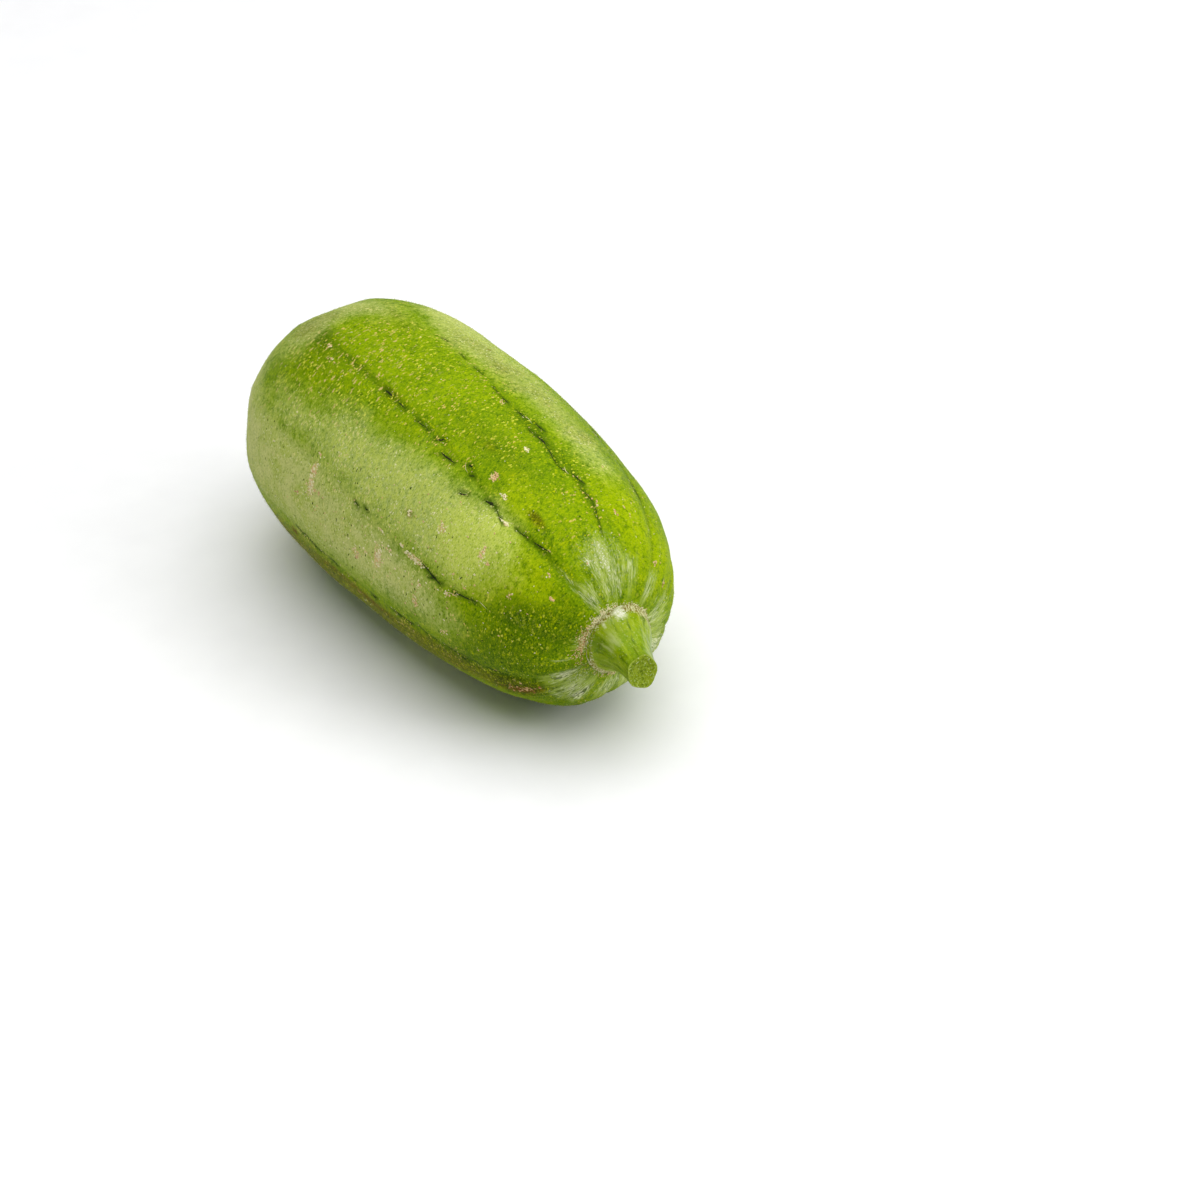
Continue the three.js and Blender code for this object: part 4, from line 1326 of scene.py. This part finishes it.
up_stalk = per_ring([0.0, *stalk_places, *np.ones(CUT_RINGS)])
up_mm = stalk_arc * up_stalk
turn = np.tile(STALK_TURN, (len(up_stalk), 1))
skin_rings = STALK_STATIONS + 1
store(stalk_mesh, "up_stalk", up_stalk)
store(stalk_mesh, "cut_share", per_ring([1.0] * skin_rings + list(cut_shares)))
store(stalk_mesh, "is_cut", per_ring([0.0] * skin_rings + [1.0] * CUT_RINGS))
# The strands run up an unrolled tube as wide as the cut.
across, over = STALK_CUT_RADIUS * np.cos(turn), STALK_CUT_RADIUS * np.sin(turn)
store(stalk_mesh, "strand_place", np.stack([across, over, up_mm], axis=-1))

# Soft marks on the stalk, as (mm up it, turn, spread up, spread of turn, strength).
STALK_MARKS = {
    # A painted highlight, whitish like wax, on the top of the foot, and a fainter one on its far side.
    "stalk_wax_and_highlight": [(1.5, 90, 2.6, 13, 1.5), (2.5, 126, 1.6, 6, 0.7), (1, 300, 2, 20, 0.6)],
    # Pale wax bands, with a painted highlight along a rib.
    "stalk_bloom_and_highlight": [(8, 130, 4, 16, 1.0), (8.5, 156, 3, 7, 0.8), (2, 112, 3, 12, 0.5), (8, 330, 5, 25, 0.8)],
    # Deeper green, and painted shade on the flank that is turned from the light.
    "stalk_deep_and_shade": [
        (4.5, 160, 2.5, 18, 0.8), (15.5, 88, 2, 18, 0.6), (15, 145, 2, 18, 0.7), (10, 208, 8, 16, 0.7),
        (14, 12, 6, 25, 0.8), (12, 270, 8, 30, 0.7),
    ],
}
for name, places in STALK_MARKS.items():
    total = sum(
        strength * bell(up_mm - place, spread) * bell(turned_from(np.degrees(turn), way), turn_spread)
        for place, way, spread, turn_spread, strength in places
    )
    store(stalk_mesh, name, total)
    print(f"{name}: strong on {np.mean(total > 0.5):.0%} of the stalk's points")

# %% [markdown]
# ## Finish of the stalk
# A fresh stem is smooth wax over parallel fibres, so it shines more than the rind, in lengthwise streaks. It
# pales and is speckled with cork where it flares into the fruit. A highlight on the top of its foot and one
# along a rib are painted in as pale wax, and shade on one flank as deeper green. One material serves for skin
# and cut, because both are one mesh, and the weight is_cut tells them apart.

# %% Patterns on the stalk
STRAND_WIDTH = 0.7
WIDE_STRAND_WIDTH = 2.4
BLOT_SIZE = 1.5
PITH_CELL = 1.0  # pith cells are finer, but they wouldn't show from a metre away

# Fresh green stem: yellow-green with paler streaks, and shinier than the rind.
stem, tree = new_material("fresh green stem")
in_mm = place_in_mm(tree)
weights = [*STALK_MARKS, "up_stalk", "cut_share", "is_cut"]
on = {name: add(tree, "ShaderNodeAttribute", attribute_name=name).outputs["Fac"] for name in weights}
strand_vector = add(tree, "ShaderNodeAttribute", attribute_name="strand_place").outputs["Vector"]
long_way = (1, 1, 0.12)
strands = pattern(tree, "ShaderNodeTexNoise", strand_vector, STRAND_WIDTH, long_way, 3.0)
long_way = (1, 1, 0.14)
wide_strands = pattern(tree, "ShaderNodeTexNoise", strand_vector, WIDE_STRAND_WIDTH, long_way, 2.0)
blots = pattern(tree, "ShaderNodeTexNoise", in_mm, BLOT_SIZE, detail=4.0)
specks = pattern(tree, "ShaderNodeTexNoise", in_mm, SPECK_SIZE, detail=2.0)
print(f"{len(tree.nodes)} nodes make the stalk's patterns")

# %% Colours of the stalk's skin
skin = coloured(tree, 0x8AA000, 0x789400, wide_strands, 0.4, 0.62)
skin = coloured(tree, skin, 0x688800, blots, 0.5, 0.25)
skin = coloured(tree, skin, 0xA2B428, blots, 0.55, 0.85)
skin = coloured(tree, skin, 0xA4B440, strands, 0.54, 0.8)
skin = coloured(tree, skin, 0x4E6A00, strands, 0.47, 0.25)
# Deeper green, partly painted shade on the flank turned from the light.
skin = painted(tree, skin, 0x526C00, on["stalk_deep_and_shade"], blots, 1.4, 0.2, 1.2)
# A pale band with a painted highlight along a rib.
skin = painted(tree, skin, 0xA6B268, on["stalk_bloom_and_highlight"], strands, 1.8, 0.2, 1.4)
skin = coloured(tree, skin, 0xB4C070, specks, 0.56, 0.85)
print(f"{len(tree.nodes)} nodes with the stalk's greens")

# %% Foot of the stalk and its painted highlight
# The foot pales at the collar and is speckled with cork, a painted highlight lies whitish on its top, and the
# stalk darkens towards the cut.
foot = add(tree, "ShaderNodeMapRange", {0: on["up_stalk"], 1: 0.15, 2: 0.05})
for layer in (
    (0x949C38, foot, blots, 2.0, 0.4, 1.1),
    (0x7A6428, foot, specks, -4.0, 0.6, 1.7),
    (0xD4D0A4, foot, specks, 4.0, 0.6, 1.7),
    # Painted highlight, whitish like wax, with white glints.
    (0xC8CE9A, on["stalk_wax_and_highlight"], blots, 1.8, 0.35, 1.3),
    (0xE8E6D8, on["stalk_wax_and_highlight"], specks, 5.0, 0.9, 2.4),
):
    skin = painted(tree, skin, *layer)
skin = coloured(tree, skin, 0x5E7804, on["up_stalk"], 0.75, 1.2)
print(f"{len(tree.nodes)} nodes with the foot and the wax")

# %% The cut, and the stalk's relief and gloss
# The cut has olive pith, a lacy net of paler fibres, and a rim of skin that is hardly paler.
cells = pattern(tree, "ShaderNodeTexVoronoi", in_mm, PITH_CELL, feature="DISTANCE_TO_EDGE")
cells = cells.outputs["Distance"]
pith = coloured(tree, 0x7E900E, 0x637A06, blots, 0.4, 0.65)
pith = coloured(tree, pith, 0x8C9E28, cells, 0.12, 0.0)
pith = coloured(tree, pith, 0x4A5C06, specks, 0.45, 0.28)
pith = coloured(tree, pith, 0xC8D09A, specks, 0.58, 0.78)
rim = add(tree, "ShaderNodeMapRange", {0: on["cut_share"], 1: 0.88, 2: 0.97})
pith = painted(tree, pith, 0x9AAA40, rim, blots, 3.0, 0.3, 1.5)
skin = coloured(tree, skin, pith, on["is_cut"], 0.0, 1.0)
bump = add(tree, "ShaderNodeBump", {"Height": strands, "Distance": 0.05 * MM})
for noise, depth in ((blots, 0.12), (specks, 0.05)):
    bump = add(tree, "ShaderNodeBump", {"Height": noise, "Distance": depth * MM, "Normal": bump})
shine = add(tree, "ShaderNodeMapRange", {0: on["is_cut"], 3: 0.3, 4: 0.55})
finish_material(tree, skin, shine, bump, IOR=WAX_IOR, Specular_IOR_Level=0.12)
make_piece("stalk", stalk_mesh, stem, "stem")

# %% [markdown]
# ## The dried flower
# A luffa's flower sits at the fruit's far end, and its shrivelled foot stays on when the petals have
# dropped. It is a short neck with a rounder head, wrinkled lengthwise, with a few curled shreds of the
# petals still on it. A wrinkled peg alone would pass for a twig, so each shred is a thin strip of its own.

# %% Sizes of the dried flower, as in its solid
TIP_NECK_RADIUS = 1.25
TIP_HEAD_RADIUS = 1.8
TIP_LENGTH = 3.6
TIP_SUNK = 0.8
TIP_HEAD_PLACE = 0.6


def tip_radius(out):
    """The radius at a distance out from the fruit: a flared foot, a neck and a head."""
    flare = (TIP_FOOT_RADIUS - TIP_NECK_RADIUS) * np.exp(-out / 0.4)
    head = (TIP_HEAD_RADIUS - TIP_NECK_RADIUS) * bell(out - TIP_HEAD_PLACE * TIP_LENGTH, 0.8)
    return (TIP_NECK_RADIUS + flare + head) * np.sqrt(np.clip(1 - (out / TIP_LENGTH) ** 5, 0, 1))


print(f"the dried flower is {2 * tip_radius(TIP_HEAD_PLACE * TIP_LENGTH):.1f} mm thick at its head")

# %% Neck and head
TIP_STATIONS = 40
TIP_SIDES = 72

tip_seat = float(station_along[0])
outs = TIP_LENGTH * (1 - (1 - np.linspace(0, 1, TIP_STATIONS)) ** 1.3)
turn = -2 * np.pi * np.arange(TIP_SIDES) / TIP_SIDES
tip_rings = []
for out in [-TIP_SUNK, *outs[:-1], 0.995 * TIP_LENGTH]:
    radius = tip_radius(np.array(max(out, 0.0)))
    folds = 1 + 0.09 * np.sin(11 * turn + 0.9 * out) + 0.06 * np.sin(7 * turn - 1.4 * out) * np.sin(2 * out)
    place = np.full(TIP_SIDES, tip_seat - JOIN_GAP - out)
    reach = radius * folds
    tip_rings.append(np.stack([place, reach * np.cos(turn), reach * np.sin(turn) - sag(tip_seat)], axis=-1))
bodies = [ring_body(laid(np.array(tip_rings)))]
print(f"{len(tip_rings)} rings, the last {tip_rings[-1][:, 1].max():.2f} mm in radius")

# %% Shreds of the petals
SHREDS = 7
SHRED_STATIONS = 9
SHRED_SEED = 23

rng = np.random.default_rng(SHRED_SEED)


def shred(way, length, width, curl):
    """A dry petal shred: a thin tapering strip that leaves the head and curls back."""
    rings = []
    for step in np.linspace(0, 1, SHRED_STATIONS):
        out = 0.62 * TIP_LENGTH + length * math.sin(curl * step) / curl
        away = 0.8 * TIP_HEAD_RADIUS + length * (1 - math.cos(curl * step)) / curl + 0.3 * step
        turned = way + 0.25 * math.sin(3 * step)
        half = width * (1 - 0.85 * step) * (1 + 0.2 * math.sin(9 * step))
        outward = np.array([0, math.cos(turned), math.sin(turned)])
        sideways = np.array([0, -math.sin(turned), math.cos(turned)])
        centre = np.array([tip_seat - JOIN_GAP - out, 0, -sag(tip_seat)]) + away * outward
        thick = 0.07 * outward + np.array([-0.04, 0, 0])
        rings.append([centre + half * sideways, centre + thick, centre - half * sideways, centre - thick])
    return ring_body(laid(np.array(rings)))


for number in range(SHREDS):
    way = 2 * math.pi * (number + rng.uniform(-0.3, 0.3)) / SHREDS
    bodies.append(shred(way, rng.uniform(0.8, 1.5), rng.uniform(0.25, 0.5), rng.uniform(0.8, 2.2)))
tip_mesh = mesh_of("dried_flower", bodies)
print(f"{SHREDS} shreds on the dried flower")

# %% [markdown]
# ## Dried petal
# Dead petal is brown, papery and matt, and still olive where it was last alive. Noise drawn out along the
# flower gives its fibres, and the same noise as a bump gives them their shadows.

# %% Dried petal material
FIBRE_WIDTH = 0.35
PETAL_BLOT = 1.3

# Dried petal: brown, papery and matt.
petal, tree = new_material("dried flower")
in_mm = place_in_mm(tree)
fibre = pattern(tree, "ShaderNodeTexNoise", in_mm, FIBRE_WIDTH, (0.2, 1, 1), detail=3.0)
blots = pattern(tree, "ShaderNodeTexNoise", in_mm, PETAL_BLOT, detail=3.0)
brown = coloured(tree, 0x6A5A30, 0x4A3A20, fibre, 0.4, 0.7)
brown = coloured(tree, brown, 0x7C8038, blots, 0.5, 0.75)
rough = add(tree, "ShaderNodeBump", {"Height": fibre, "Distance": 0.1 * MM})
finish_material(tree, brown, 0.8, rough, IOR=WAX_IOR, Specular_IOR_Level=0.25)
make_piece("dried_flower", tip_mesh, petal, "blossom_tip")

# %% [markdown]
# ## Sizes at the end
# The finished gourd must fill the solids' box, and only its hairs and crumbs may stand a little past it. Both
# boxes are printed, in mm.

# %% Sizes, and the end
visual_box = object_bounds()
sizes = {"cad": [list(corner) for corner in cad_box], "visual": [list(corner) for corner in visual_box]}
for name, (low, high) in sizes.items():
    print(name, "box in mm:", [round((b - a) / MM, 2) for a, b in zip(low, high)])
